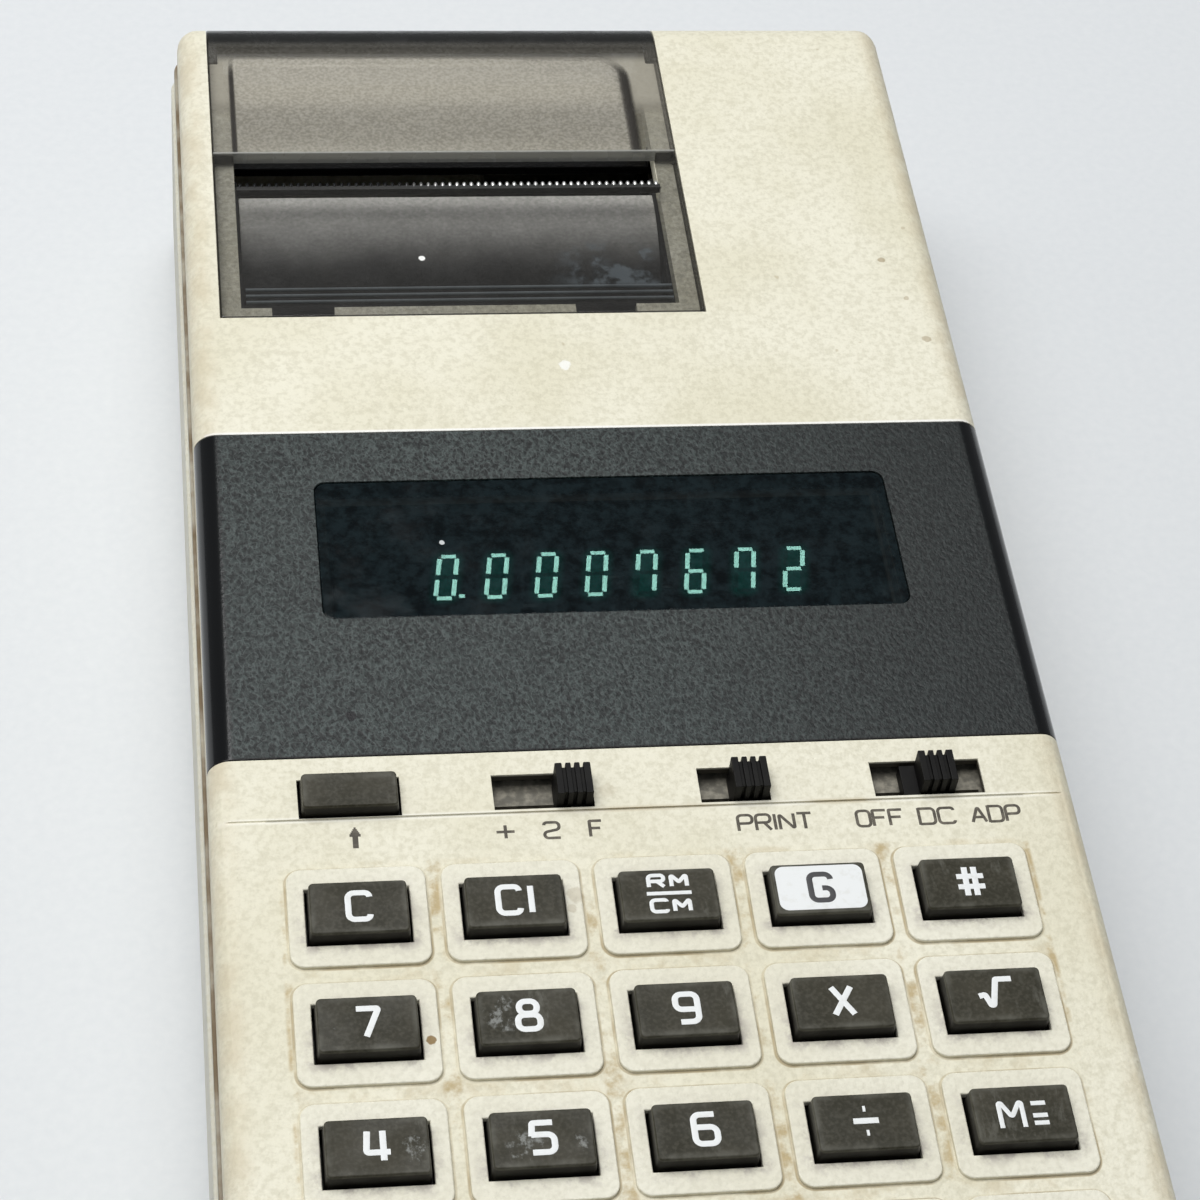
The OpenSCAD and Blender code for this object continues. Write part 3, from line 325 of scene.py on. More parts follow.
def corner_normals(mesh):
    """One normal for each face corner: level faces stay flat, and the curves next to them blend into them."""
    limit, normals = math.cos(SMOOTH_ANGLE), []
    for face in mesh.faces:
        for corner in face.loops:
            near = [f for f in corner.vert.link_faces if f.normal.dot(face.normal) > limit]
            level = [f for f in near if max(map(abs, f.normal)) > LEVEL_NORMAL]
            blend = sum((f.normal * f.calc_area() for f in near), Vector())
            largest = max(level, key=lambda f: f.calc_area(), default=None)
            normals.append(largest.normal.copy() if largest else blend.normalized())
    return normals


def make_piece(mesh, name, body, finish, replaced=None):
    data = bpy.data.meshes.new(name)
    mesh.normal_update()
    normals = corner_normals(mesh)
    mesh.to_mesh(data)
    mesh.free()
    data.shade_smooth()
    data.normals_split_custom_set(normals)
    data.materials.clear()
    data.materials.append(finish)
    obj = add_object(name, data)
    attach(obj, body)
    if replaced:
        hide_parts(replaced)
    return obj


def dress(node, finish, width=0.2 * MM, chosen=lambda middle: True, segments=3):
    mesh = node_copy(node)
    count = round_edges(mesh, width, chosen, segments)
    print(node, "rounded on", count, "edges")
    make_piece(mesh, node + "_moulding", BODY_OF[node], finish, node)


print("pieces are smoothed below", round(math.degrees(SMOOTH_ANGLE)), "degrees")

# %% [markdown]
# ## Cream case
# The case is moulded in cream plastic with a fine texture, yellowed and stained by use. Dirt sits along the
# pads' edges, in the channels between the keys and on the pads in front of the caps. The key grid repeats,
# so the finish folds the deck's coordinates into one key cell and measures distances there.

# %% Dirt round the keys
COLUMN_PITCH, ROW_PITCH, FRONT_ROW_Y = mm(15.0, 13.1, -87.4)
PAD = mm(6.75, 5.65, 1.5)
CAP = mm(4.83, 3.0, 0.3)


def key_cell(f):
    """Where a point is in its cell of the key grid, from the middle of the key."""
    x = f.math("WRAP", f.axis("X"), COLUMN_PITCH / 2, -COLUMN_PITCH / 2)
    return x, f.math("WRAP", f.off("Y", FRONT_ROW_Y), ROW_PITCH / 2, -ROW_PITCH / 2)


def key_dirt(f):
    """Paler pads, a brown line at their foot, dirt in the channels and smudges round the caps."""
    x, y = key_cell(f)
    pad, cap = f.rounded_box(x, y, *PAD), f.rounded_box(x, y, *CAP)
    zone = f.both(f.ramp("Y", -94.2, -93.6), f.ramp("Y", -28.2, -28.8),
                  f.ramp(f.away("X"), 37.6, 37.2), f.over_deck(-0.4, -0.2))
    f.coat(f.both(zone, f.ramp(pad, 0.1, -0.1), 0.3), tint(240, 238, 226))
    foot = f.ramp(f.math("ABSOLUTE", f.math("SUBTRACT", pad, 0.12 * MM)), 0.2, 0.05)
    crease = f.both(foot, f.over_deck(0.25, 0.1, 0.25, 1.0), zone, f.step(f.noise(5), 0.3, 0.65, 0.2, 0.85))
    f.coat(crease, tint(170, 153, 116))
    channel = f.both(zone, f.ramp(f.math("ABSOLUTE", x), 6.4, 6.9, 0.35, 1.0), f.ramp(pad, 0.1, 0.4),
                     f.step(f.noise(5, 5, 0.65, shift=(0.2, 0.4, 0)), 0.46, 0.64, 0.0, 0.85))
    f.coat(channel, tint(184, 162, 114))
    smudge = f.both(zone, f.ramp(cap, 1.9, 0.2), f.ramp(y, 2.0, -4.0, 0.35, 1.0),
                    f.step(f.noise(2.2, 5, 0.65, shift=(0.7, 0.2, 0)), 0.44, 0.64, 0.0, 0.8))
    f.coat(smudge, tint(172, 164, 156))


print("key cells of", COLUMN_PITCH / MM, "by", ROW_PITCH / MM, "mm")

# %% Marks on the deck
SCORE_Y, EDGE_X = mm(-23.2, 41.3)
BAND_BACK_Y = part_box("display_bezel")[1].y
STAINS = [(-24.1, -49.3, 0.5, 0.95), (-8.9, -33.6, 0.9, 0.25), (-9.4, -35.2, 0.5, 0.25),
          (-4.2, -20.8, 0.9, 0.15), (37.1, 55.1, 0.42, 0.55), (38.9, 48.6, 0.36, 0.4),
          (40.1, 41.9, 0.5, 0.45), (40.6, 60.5, 0.3, 0.3), (-33.5, -22.6, 1.1, 0.15)]
PALE_FLECK = (-2.15, 38.66, 0.75)


def deck_marks(f):
    """Stains, a pale fleck, the scored line lightened as a painted highlight, slot walls darkened as painted
    shade, a painted highlight behind the band, and darker side edges.
    """
    for x, y, radius, strength in STAINS:
        f.coat(f.both(f.fleck(x, y, radius), strength), tint(142, 114, 62))
    f.coat(f.fleck(*PALE_FLECK), tint(247, 246, 238))
    # Painted highlight: the scored groove is lightened so that its own shade shows less.
    score_groove_light = f.both(f.ramp(f.away("Y", SCORE_Y), 0.5, 0.12), f.over_deck(-0.7, -0.5))
    wear_and_groove_light = f.mix(f.step(f.noise(9), 0.45, 0.7), tint(248, 245, 230), tint(216, 207, 181))
    f.coat(score_groove_light, wear_and_groove_light)
    # Painted shade: the walls of the switch slots are darkened where shade falls.
    slot_wall_shade = f.both(f.over_deck(-0.1, -0.35), f.ramp("Y", -16.2, -16.6),
                       f.ramp(f.away("X"), 38.5, 38.0), f.ramp("Y", -97.0, -96.0))
    f.coat(slot_wall_shade, tint(64, 60, 50))
    # Painted highlight: a pale line on the deck edge just behind the band.
    band_edge_highlight = f.both(f.ramp(f.away("Y", BAND_BACK_Y), 0.5, 0.3), f.over_deck(-0.5, -0.3), 0.85)
    f.coat(band_edge_highlight, tint(253, 252, 247))
    # Darker along the deck's side edges.
    side_edge_darkening = f.both(f.step(f.away("X"), EDGE_X - 1.2 * MM, EDGE_X + 1.2 * MM),
                     f.step(f.noise(4, 4, shift=(0.1, 0.5, 0)), 0.35, 0.65, 0.15, 0.6))
    f.coat(side_edge_darkening, tint(206, 193, 164))


print(len(STAINS), "stains on the deck")

# %% Cream finishes
SEAM_Z = 30.5 * MM
CREAM = (tint(240, 236, 216), tint(230, 225, 201))
# The lower case and the battery door are the same aged cream, greyed and darkened as painted shade.
SHADE_GREYED_CREAM = (tint(215, 213, 200), tint(207, 204, 191))
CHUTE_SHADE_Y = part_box("paper_chute")[0].y + 2.4 * MM


def cream_finish(name, shades=CREAM, keyboard=False, dirty_seam=True):
    f = Finish(name, 0.52, 0.4 if dirty_seam else 0.1)
    f.coat(f.step(f.noise(24, 4), 0.36, 0.66), *shades)
    f.coat(f.step(f.noise(0.6), 0.38, 0.7, 0.0, 0.4), tint(196, 190, 164))
    spots = f.step(f.noise(1.7, 1, shift=(0.3, 0.1, 0)), 0.79, 0.85, 0.0, 0.5)
    f.coat(spots, tint(176, 160, 122))
    if keyboard:
        key_dirt(f)
        deck_marks(f)
    if dirty_seam:
        seam = f.both(f.ramp(f.away("Z", SEAM_Z), 0.6, 0.1), f.step(f.noise(6, 4), 0.3, 0.6, 0.45, 0.95))
        f.coat(seam, tint(112, 92, 62))
    else:
        # Painted shade: black at the chute's front end, where the inside lies in shade.
        chute_front_shade = f.step(f.axis("Y"), CHUTE_SHADE_Y + 0.1 * MM, CHUTE_SHADE_Y - 0.1 * MM)
        f.coat(chute_front_shade, tint(10, 10, 10))
    f.bump(f.noise(0.5), 0.1)
    return f.material


keyboard_cream = cream_finish("aged_cream_keyboard", keyboard=True)
shade_greyed_cream = cream_finish("aged_cream_shade_greyed", SHADE_GREYED_CREAM)
chute_cream = cream_finish("chute_cream_with_painted_shade", dirty_seam=False)
print("three cream finishes")

# %% Case halves, door and chute
LOWER_RIM_Z = 26 * MM
mesh = node_copy("upper_case")
pads = round_edges(mesh, 0.16 * MM, lambda p: p.z > DECK_Z + 0.35 * MM)
deck = round_edges(mesh, 0.16 * MM,
                   lambda p: abs(p.z - DECK_Z) < 0.02 * MM and abs(p.y - SCORE_Y) > 0.4 * MM)
print("upper case rounded on", pads + deck, "edges")
make_piece(mesh, "upper_case_moulding", "case", keyboard_cream, "upper_case")
dress("lower_case", shade_greyed_cream, 0.3 * MM, lambda p: p.z > LOWER_RIM_Z)
dress("battery_door", shade_greyed_cream, 0.15 * MM)
dress("paper_chute", chute_cream, 0.15 * MM)

# %% [markdown]
# ## Display
# The band is a separate dark moulding with a fine leather grain: noise gives the pits, and the lines where a
# second noise crosses its middle value give the ridges a painted highlight. It is painted darker towards the
# right as painted shade, with a painted shadow line along its front foot. Its rounded edges are polished and
# painted almost black, a painted dark reflection. The window is a glossy dark green filter. The tube behind
# it is glass with lit segments on a black plate.

# %% Band
BAND_FRONT_Y = -15.3 * MM
f = Finish("charcoal_grain", 0.5, 0.4)
pits = f.noise(0.42, 3, 0.6, stretch=(1, 0.7, 1))
ridge_highlights = f.math("ABSOLUTE", f.math("SUBTRACT", f.noise(0.8, 2, 0.5, stretch=(1, 0.7, 1)), 0.5))
edge = f.step(f.away("X"), EDGE_X - 0.5 * MM, EDGE_X + 0.5 * MM)
f.bump(f.both(f.math("SUBTRACT", pits, 0.5), f.math("SUBTRACT", 1.0, edge)), 0.13)
f.set("Roughness", f.step(edge, 0.0, 1.0, 0.5, 0.16))
f.coat(f.step(pits, 0.36, 0.66), tint(8, 12, 12), tint(56, 64, 62))
f.coat(f.step(f.noise(11, 4), 0.35, 0.7, 0.0, 0.35), tint(40, 47, 46))
# Painted highlight: pale lines along the grain's ridges.
f.coat(f.step(ridge_highlights, 0.05, 0.01, 0.0, 0.34), tint(96, 106, 104))
# Painted shade: the band is darker towards the right.
f.coat(f.ramp("X", -5, 45, 0.0, 0.7), tint(10, 13, 13))
# Painted dark reflection: the polished edges are painted almost black.
f.coat(edge, tint(3, 4, 5))
f.coat(f.fleck(-29.2, -10.4, 0.6), tint(8, 8, 12))
# Painted shadow: a black line along the band's front foot, where the gap to the deck lies.
front_gap_shadow = f.step(f.axis("Y"), BAND_FRONT_Y + 0.1 * MM, BAND_FRONT_Y - 0.1 * MM)
dress("display_bezel", f.coat(front_gap_shadow, tint(6, 6, 6)))

# %% Window
f = Finish("green_filter", 0.08, 0.22)
f.set("Alpha", 0.8)
f.set("Roughness", f.step(f.noise(5, 4), 0.4, 0.7, 0.06, 0.2))
dust = f.both(f.step(f.noise(2.4, 5, 0.7), 0.56, 0.78, 0.0, 0.5), f.step(f.noise(13, 2), 0.4, 0.6))
f.coat(f.step(f.noise(1.6, 6, 0.75), 0.36, 0.64), (0.001, 0.003, 0.004), (0.009, 0.017, 0.020))
scratch = f.both(f.step(f.noise(1.1, 4, 0.7, stretch=(0.14, 1, 1)), 0.6, 0.74, 0.0, 0.6),
                 f.step(f.noise(9, 2, shift=(0.4, 0.2, 0)), 0.48, 0.6))
f.coat(f.most(dust, scratch), (0.026, 0.038, 0.041))
filter_green = f.coat(f.fleck(-18.1, 12.7, 0.3), tint(226, 230, 230))
dress("display_window", filter_green, 0.12 * MM)

# %% [markdown]
# ## Smoked windows
# Both windows over the printer are moulded in smoked clear plastic. Alpha below 1 lets the cream ledge, the
# chute and the curved guide show through.

# %% Smoked windows
SMOKE_BROWN, SMOKE_GREY = tint(44, 43, 40), tint(62, 60, 56)
DEEP_SMOKE, EDGE_HIGHLIGHT_SMOKE, RIM_SMOKE = tint(12, 13, 12), tint(168, 168, 162), tint(30, 27, 22)


def smoke(name, node):
    """A smoked finish, its alpha, and a mask of the plate's outer rim."""
    f = Finish(name, 0.25, 0.5)
    f.set("Roughness", f.step(f.noise(3), 0.35, 0.7, 0.2, 0.34))
    f.bump(f.noise(0.7), 0.03)
    clear = f.step(f.noise(0.5, 4), 0.3, 0.7, 0.21, 0.35)
    low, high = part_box(node)
    middle, half = (low + high) / 2, (high - low) / 2
    outline = f.rounded_box(f.off("X", middle.x), f.off("Y", middle.y), half.x, half.y, 0.6 * MM)
    rim = f.ramp(outline, -0.22, -0.1, 0.0, 0.85)
    f.coat(f.noise(4, 4), SMOKE_BROWN, SMOKE_GREY)
    return f, clear, rim


f, clear, rim = smoke("smoked_print_window", "print_window")
top = f.over_deck(-0.5, -0.3)
haze = f.both(f.ramp("X", -4, 2), f.ramp("X", 11.5, 9.5), f.ramp("Y", 60, 57), f.ramp("Y", 50.5, 52), top,
              f.step(f.noise(2.8, 4), 0.45, 0.62, 0.0, 0.6))
fleck = f.both(f.fleck(-16.9, 56.2, 0.4), top)
f.coat(haze, tint(104, 113, 118))
f.coat(rim, RIM_SMOKE)
f.set("Alpha", f.most(clear, haze, rim, fleck))
dress("print_window", f.coat(fleck, tint(244, 244, 240)))

# %% [markdown]
# The hinged cover is frosted on top where it lies over the chute. A dark rib runs round the frosted field as
# painted shade, where the chute's walls cast their shade: thin with a tight corner at the left, faint at the
# back, wide with a round corner at the right. The underside is lined in cream towards the back, and the
# rolled back edge is so thick that it looks almost black.

# %% Hinged cover
SPLIT_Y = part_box("paper_cover")[0].y
RIB_X, RIB_Y, RIB_HALF_W, RIB_HALF_L = mm(-13.55, 80.0, 24.0, 11.8)
RIB_R, RIB_LEFT_R = mm(3.6, 0.9)
RIB_REACH_LEFT, RIB_REACH_RIGHT = mm(0.42, 0.95)


def shade_rib_line(f):
    """The distance from the frosted field's outline, and how dark the rib of painted shade on it is."""
    x, y = f.off("X", RIB_X), f.off("Y", RIB_Y)
    wide, tight = [f.rounded_box(x, y, RIB_HALF_W, RIB_HALF_L, radius) for radius in (RIB_R, RIB_LEFT_R)]
    on_right = f.math("GREATER_THAN", x, 0.0)
    field = f.math("ADD", tight, f.both(on_right, f.math("SUBTRACT", wide, tight)))
    reach = f.step(x, 0.0, RIB_HALF_W - RIB_R, RIB_REACH_LEFT, RIB_REACH_RIGHT)
    line = f.step(f.math("DIVIDE", f.math("ABSOLUTE", field), reach), 1.0, 0.25)
    return field, f.both(line, f.step(y, RIB_HALF_L - 0.5 * MM, RIB_HALF_L - 3 * MM, 0.3, 0.88))


f, clear, rim = smoke("smoked_paper_cover", "paper_cover")
top = f.over_deck(-0.9, -0.6)
field, line = shade_rib_line(f)
frost = f.both(f.ramp(field, 0.2, -0.2, 0.3, 0.56), top, f.math("SUBTRACT", 1.0, line))
lining = f.math("SUBTRACT", f.ramp("Y", 81.0, 86.5, 0.0, 0.95), top)
roll = f.ramp("Y", 92.6, 95.0, 0.0, 0.97)
# Painted highlight: the cover's front edge is pale, as if it caught the light.
front = f.step(f.axis("Y"), SPLIT_Y + 0.35 * MM, SPLIT_Y + 0.15 * MM, 0.0, 0.8)
f.set("Alpha", f.most(clear, frost, lining, roll, rim, front))
grain = f.mix(f.step(f.noise(0.4, 4), 0.35, 0.65), tint(164, 159, 146), tint(198, 193, 180))
f.coat(f.both(frost, 1.6), grain)
for mask, shade in ((lining, tint(206, 200, 182)), (roll, DEEP_SMOKE), (rim, RIM_SMOKE), (front, EDGE_HIGHLIGHT_SMOKE)):
    f.coat(mask, shade)
dress("paper_cover", f.material)

# %% [markdown]
# ## Keys
# The caps are dark brown plastic, shiny where fingers wore them and scratched pale on a few of the digits.
# Their sides are painted darker below the top, as painted shade.
# Their edges are softly rounded. Each cap is drawn out a little at the top, most at the front, and its four
# upright corners are rounded before the top edge is.

# %% Key finishes
KEYS = [n for n in BODY_OF if n.startswith("key_") and n not in ("key_board", "key_dome_sheet")]
SCUFFS = [(-26.5, -61.6, 1.4), (-16.6, -61.9, 1.7), (-11.7, -61.9, 0.9),
          (-17.3, -47.9, 1.9), (-33.8, -48.6, 0.8)]


def key_finish(name, top):
    f = Finish(name, 0.45, 0.2)
    edge = f.ramp(f.rounded_box(*key_cell(f), *CAP), -0.9, -0.2)
    wear_and_groove_light = f.both(edge, f.step(f.noise(3), 0.4, 0.65, 0.1, 0.5))
    streak = f.both(f.step(f.noise(1.6, 5, 0.7, stretch=(1, 0.35, 1)), 0.52, 0.68, 0.0, 0.55),
                    f.step(f.noise(14, 1, shift=(0.1, 0.5, 0)), 0.5, 0.62))
    f.coat(f.step(f.noise(6), 0.35, 0.7), tint(46, 44, 32), tint(60, 57, 45))
    f.coat(f.step(f.noise(0.4), 0.4, 0.7, 0.0, 0.3), tint(94, 91, 80))
    f.coat(f.most(wear_and_groove_light, streak), tint(104, 103, 94))
    scratch = f.step(f.noise(1.0, 5, 0.72, stretch=(0.8, 0.6, 1), shift=(0.3, 0.6, 0)), 0.5, 0.64, 0.0, 0.7)
    for scuff in SCUFFS:
        f.coat(f.both(f.fleck(*scuff), scratch), tint(150, 152, 148))
    # Painted shade: the cap sides below the top are darkened.
    side = f.step(f.axis("Z"), top - 0.15 * MM, top - 0.5 * MM, 0.0, 0.92)
    f.set("Roughness", f.step(f.noise(4), 0.35, 0.7, 0.36, 0.55))
    f.bump(f.noise(0.4, 2), 0.02)
    return f.coat(side, tint(16, 14, 11))


key_brown = key_finish("worn_key_brown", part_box("key_5")[1].z)
feed_brown = key_finish("worn_feed_brown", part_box("feed_key")[1].z)
print(len(SCUFFS), "scuffs on the caps")

# %% Key caps
CAP_SPREAD, FRONT_SPREAD = mm(0.12, 0.24)
UPRIGHT = 0.9
CORNER_NEAR, CORNER_FAR, CORNER_R, CAP_EDGE = mm(4.2, 4.9, 0.45, 0.18)
for node in KEYS + ["feed_key"]:
    mesh = node_copy(node)
    low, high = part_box(node)
    middle = (low + high) / 2
    for vert in [v for v in mesh.verts if v.co.z > high.z - 0.01 * MM]:
        vert.co.x += math.copysign(CAP_SPREAD, vert.co.x - middle.x)
        vert.co.y += CAP_SPREAD if vert.co.y > middle.y else -FRONT_SPREAD
    corners = [e for e in mesh.edges if abs((e.verts[0].co - e.verts[1].co).normalized().z) > UPRIGHT
               and CORNER_NEAR < abs((e.verts[0].co.x + e.verts[1].co.x) / 2 - middle.x) < CORNER_FAR]
    bevel(mesh, corners, CORNER_R, 4)
    round_edges(mesh, CAP_EDGE, lambda p: p.z > DECK_Z - 0.2 * MM)
    finish = feed_brown if node == "feed_key" else key_brown
    make_piece(mesh, node + "_cap", BODY_OF[node], finish, node)
print(len(KEYS) + 1, "keys softened")

# %% Switch knobs
f = Finish("knob_black", 0.55, 0.2)
f.bump(f.noise(0.5, 2), 0.01)
knob_black = f.coat(f.step(f.noise(2.5), 0.4, 0.7), tint(8, 7, 6), tint(18, 17, 14))
for node in ("rounding_switch_knob", "print_switch_knob", "power_switch_knob"):
    dress(node, knob_black, 0.1 * MM, segments=2)

# %% [markdown]
# ## Legends drawn as strokes
# The white signs on the keys and the thin labels on the deck are strokes of an even width. Each sign is a
# few lines on a grid of 4 by 6, each with a share of the corner radius. A Geometry Nodes tree turns the lines
# into curves, rounds their corners and sweeps a flattened circle along them, so one tree draws every sign at
# any size. A stroke lies half sunk in the face that carries it, as a two-shot moulding or a print does.

# %% Stroke alphabet
BOX = [(0, 0), (0, 6), (4, 6), (4, 0), (0, 0)]
GLYPHS = {
    "0": [(1, BOX)],
    "O": [(1, BOX)],
    "1": [(0, [(0.8, 4.8), (2, 6), (2, 0)])],
    "2": [(1, [(0, 5), (0, 6), (4, 6), (4, 3.3), (0, 2.3), (0, 0), (4.1, 0)])],
    "3": [(1, [(0, 6), (4, 6), (4, 0), (0, 0)]), (0, [(0.9, 3.1), (4, 3.1)])],
    "4": [(0.4, [(0.3, 6), (0, 1.7), (4.2, 1.7)]), (0, [(3, 6), (3, 0)])],
    "5": [(0, [(3.9, 6), (0.3, 6), (0.05, 3.3)]), (1, [(0, 3.6), (4, 3.6), (4, 0), (0, 0)])],
    "6": [(1, [(3.8, 6), (0, 6), (0, 0), (4, 0), (4, 3.4), (0, 3.4)])],
    "7": [(0, [(0, 6), (4, 6), (1.6, 0)])],
    "8": [(1, [(0.4, 3.35), (0.4, 6), (3.6, 6), (3.6, 3.35), (0.4, 3.35)]),
          (1, [(0, 0), (0, 3.05), (4, 3.05), (4, 0), (0, 0)])],
    "9": [(1, [(0.6, 0), (4, 0), (4, 6), (0, 6), (0, 2.7), (4, 2.7)])],
    "A": [(0, [(0, 0), (2, 6), (4, 0)]), (0, [(0.8, 1.9), (3.2, 1.9)])],
    "C": [(1, [(4, 5), (4, 6), (0, 6), (0, 0), (4, 0), (4, 1)])],
    "D": [(1, [(0, 6), (4, 6), (4, 0), (0, 0)]), (0, [(0, -0.3), (0, 6.3)])],
    "F": [(0, [(0, 0), (0, 6), (4, 6)]), (0, [(0, 3.2), (3.4, 3.2)])],
    "G": [(1, [(4, 4.8), (4, 6), (0, 6), (0, 0), (4, 0), (4, 2.8), (2.2, 2.8)])],
    "I": [(0, [(2, 0), (2, 6)])],
    "M": [(0, [(0, 0), (0, 6), (2, 2.2), (4, 6), (4, 0)])],
    "N": [(0, [(0, 0), (0, 6), (4, 0), (4, 6)])],
    "P": [(1, [(0, 0), (0, 6), (4, 6), (4, 2.8), (0, 2.8)])],
    "R": [(1, [(0, 0), (0, 6), (4, 6), (4, 2.9), (0, 2.9)]), (0, [(2.2, 2.9), (4, 0)])],
    "T": [(0, [(0, 6), (4, 6)]), (0, [(2, 6), (2, 0)])],
    "x": [(0, [(0.2, 6), (3.8, 0)]), (0, [(3.8, 6), (0.2, 0)])],
    "+": [(0, [(0, 3), (4, 3)]), (0, [(2, 0.5), (2, 5.5)])],
    "-": [(0, [(0, 3), (4, 3)])],
    "=": [(0, [(0, 4.2), (4, 4.2)]), (0, [(0, 1.8), (4, 1.8)])],
    ".": [(0, [(1.7, 0.2), (2.3, 0.2)])],
    "/": [(0, [(-0.3, 3), (4.3, 3)]), (0, [(1.75, 5.5), (2.25, 5.5)]), (0, [(1.75, 0.5), (2.25, 0.5)])],
    "%": [(0, [(3.8, 6), (0.2, 0)]), (1, [(0, 6), (1.4, 6), (1.4, 4), (0, 4), (0, 6)]),
          (1, [(2.6, 2), (4, 2), (4, 0), (2.6, 0), (2.6, 2)])],
    "#": [(0, [(1.0, -0.3), (1.2, 6.3)]), (0, [(2.8, -0.3), (3.0, 6.3)]),
          (0, [(-0.6, 1.8), (4.6, 1.8)]), (0, [(-0.6, 4.2), (4.6, 4.2)])],
    "root": [(0, [(-1.4, 2.6), (-0.2, 2.9), (0.9, -0.3), (2.3, 6.2), (5.3, 6.2)])],
}


def sign(character, x, y, width, height):
    """Strokes of one sign, centred on x and y, as (roundness, points) pairs in metres."""
    return [(roundness, [(x + (px / 4 - 0.5) * width, y + (py / 6 - 0.5) * height) for px, py in points])
            for roundness, points in GLYPHS[character]]


def word(letters, x0, x1, y, height):
    """A word between two outer edges, with gaps of a quarter of a letter and a narrow I."""
    shares = [0.15 if letter == "I" else 1.0 for letter in letters]
    width = (x1 - x0) / (sum(shares) + (len(letters) - 1) / 4)
    strokes = []
    for letter, share in zip(letters, shares):
        strokes += sign(letter, x0 + width * share / 2, y, width, height)
        x0 += width * (share + 1 / 4)
    return strokes


print(len(GLYPHS), "signs in the alphabet")


# %% Geometry Nodes helpers
def new_tree(name, inputs):
    tree = bpy.data.node_groups.new(name, "GeometryNodeTree")
    tree.interface.new_socket("Geometry", in_out="INPUT", socket_type="NodeSocketGeometry")
    for label, kind in inputs:
        tree.interface.new_socket(label, in_out="INPUT", socket_type="NodeSocket" + kind)
    tree.interface.new_socket("Geometry", in_out="OUTPUT", socket_type="NodeSocketGeometry")
    return tree, tree.nodes.new("NodeGroupInput").outputs, tree.nodes.new("NodeGroupOutput").inputs


def add_node(tree, kind, values, **settings):
    """Adds a node, sets its inputs to numbers or links them, and returns its first output."""
    node = tree.nodes.new(kind)
    for key, value in settings.items():
        setattr(node, key, value)
    for socket, source in values.items():
        if isinstance(source, bpy.types.NodeSocket):
            tree.links.new(source, node.inputs[socket])
        else:
            node.inputs[socket].default_value = source
    return node.outputs[0]


def close_tree(tree, shape, material, result):
    real = add_node(tree, "GeometryNodeRealizeInstances", {"Geometry": shape})
    dressed = add_node(tree, "GeometryNodeSetMaterial", {"Geometry": real, "Material": material})
    tree.links.new(dressed, result[0])
    print(tree.name, "has", len(tree.nodes), "nodes")


def grow(mesh, name, tree, values, body):
    """Runs a tree on a mesh with the given input values and keeps the result as a plain piece."""
    source = add_object(name + "_source", mesh)
    modifier = source.modifiers.new("grow", "NODES")
    modifier.node_group = tree
    for item in tree.interface.items_tree:
        if item.in_out == "INPUT" and item.name in values:
            modifier[item.identifier] = values[item.name]
    result = bpy.data.meshes.new_from_object(source.evaluated_get(bpy.context.evaluated_depsgraph_get()))
    bpy.data.objects.remove(source)
    plain = bmesh.new()
    plain.from_mesh(result)
    make_piece(plain, name, body, next(m for m in result.materials if m))


# %% Stroke tree
tree, given, result = new_tree("stroke_signs", [
    ("Stroke Width", "Float"), ("Corner Radius", "Float"), ("Thickness", "Float"), ("Height", "Float"),
    ("Ink", "Material")])
share = add_node(tree, "GeometryNodeInputNamedAttribute", {"Name": "roundness"})
radius = add_node(tree, "ShaderNodeMath", {0: share, 1: given["Corner Radius"]}, operation="MULTIPLY")
lines = add_node(tree, "GeometryNodeMeshToCurve", {"Mesh": given["Geometry"]})
soft = add_node(tree, "GeometryNodeFilletCurve",
                {"Curve": lines, "Count": 6, "Radius": radius, "Limit Radius": True}, mode="POLY")
half = add_node(tree, "ShaderNodeMath", {0: given["Stroke Width"], 1: 0.5}, operation="MULTIPLY")
ring = add_node(tree, "GeometryNodeCurvePrimitiveCircle", {"Resolution": 12, "Radius": half})
swept = add_node(tree, "GeometryNodeCurveToMesh", {"Curve": soft, "Profile Curve": ring, "Fill Caps": True})
flat = add_node(tree, "ShaderNodeMath", {0: given["Thickness"], 1: given["Stroke Width"]}, operation="DIVIDE")
squash = add_node(tree, "ShaderNodeCombineXYZ", {0: 1.0, 1: 1.0, 2: flat})
lift = add_node(tree, "ShaderNodeCombineXYZ", {2: given["Height"]})
laid = add_node(tree, "GeometryNodeTransform", {"Geometry": swept, "Translation": lift, "Scale": squash})
close_tree(tree, laid, given["Ink"], result)
stroke_tree = tree
LEAST_ROUNDNESS, SIGN_THICKNESS = 0.25, 0.06 * MM


def draw(strokes, name, body, ink, height, stroke, corner, thickness=SIGN_THICKNESS):
    """Makes one piece of a list of strokes, at a height, with a stroke width and a corner radius."""
    points, edges, softness = [], [], []
    for amount, line in strokes:
        closed = line[0] == line[-1]
        line = line[:-1] if closed else line
        first = len(points)
        points += [(x, y, 0) for x, y in line]
        softness += [max(amount, LEAST_ROUNDNESS)] * len(line)
        edges += [(first + i, first + i + 1) for i in range(len(line) - 1)]
        edges += [(first + len(line) - 1, first)] if closed else []
    mesh = bpy.data.meshes.new(name + "_lines")
    mesh.from_pydata(points, edges, [])
    mesh.attributes.new("roundness", "FLOAT", "POINT").data.foreach_set("value", softness)
    values = {"Stroke Width": stroke, "Corner Radius": corner, "Thickness": thickness,
              "Height": height, "Ink": ink}
    grow(mesh, name, stroke_tree, values, body)


# %% [markdown]
# ## Ribs of the smoked windows
# The same sweep makes the ribs that show through the windows: the dark one in the hinged cover, a painted
# shade along the chute's walls whose alpha follows the line drawn above, and three straight ones under the
# front edge of the fixed window, half sunk in it.

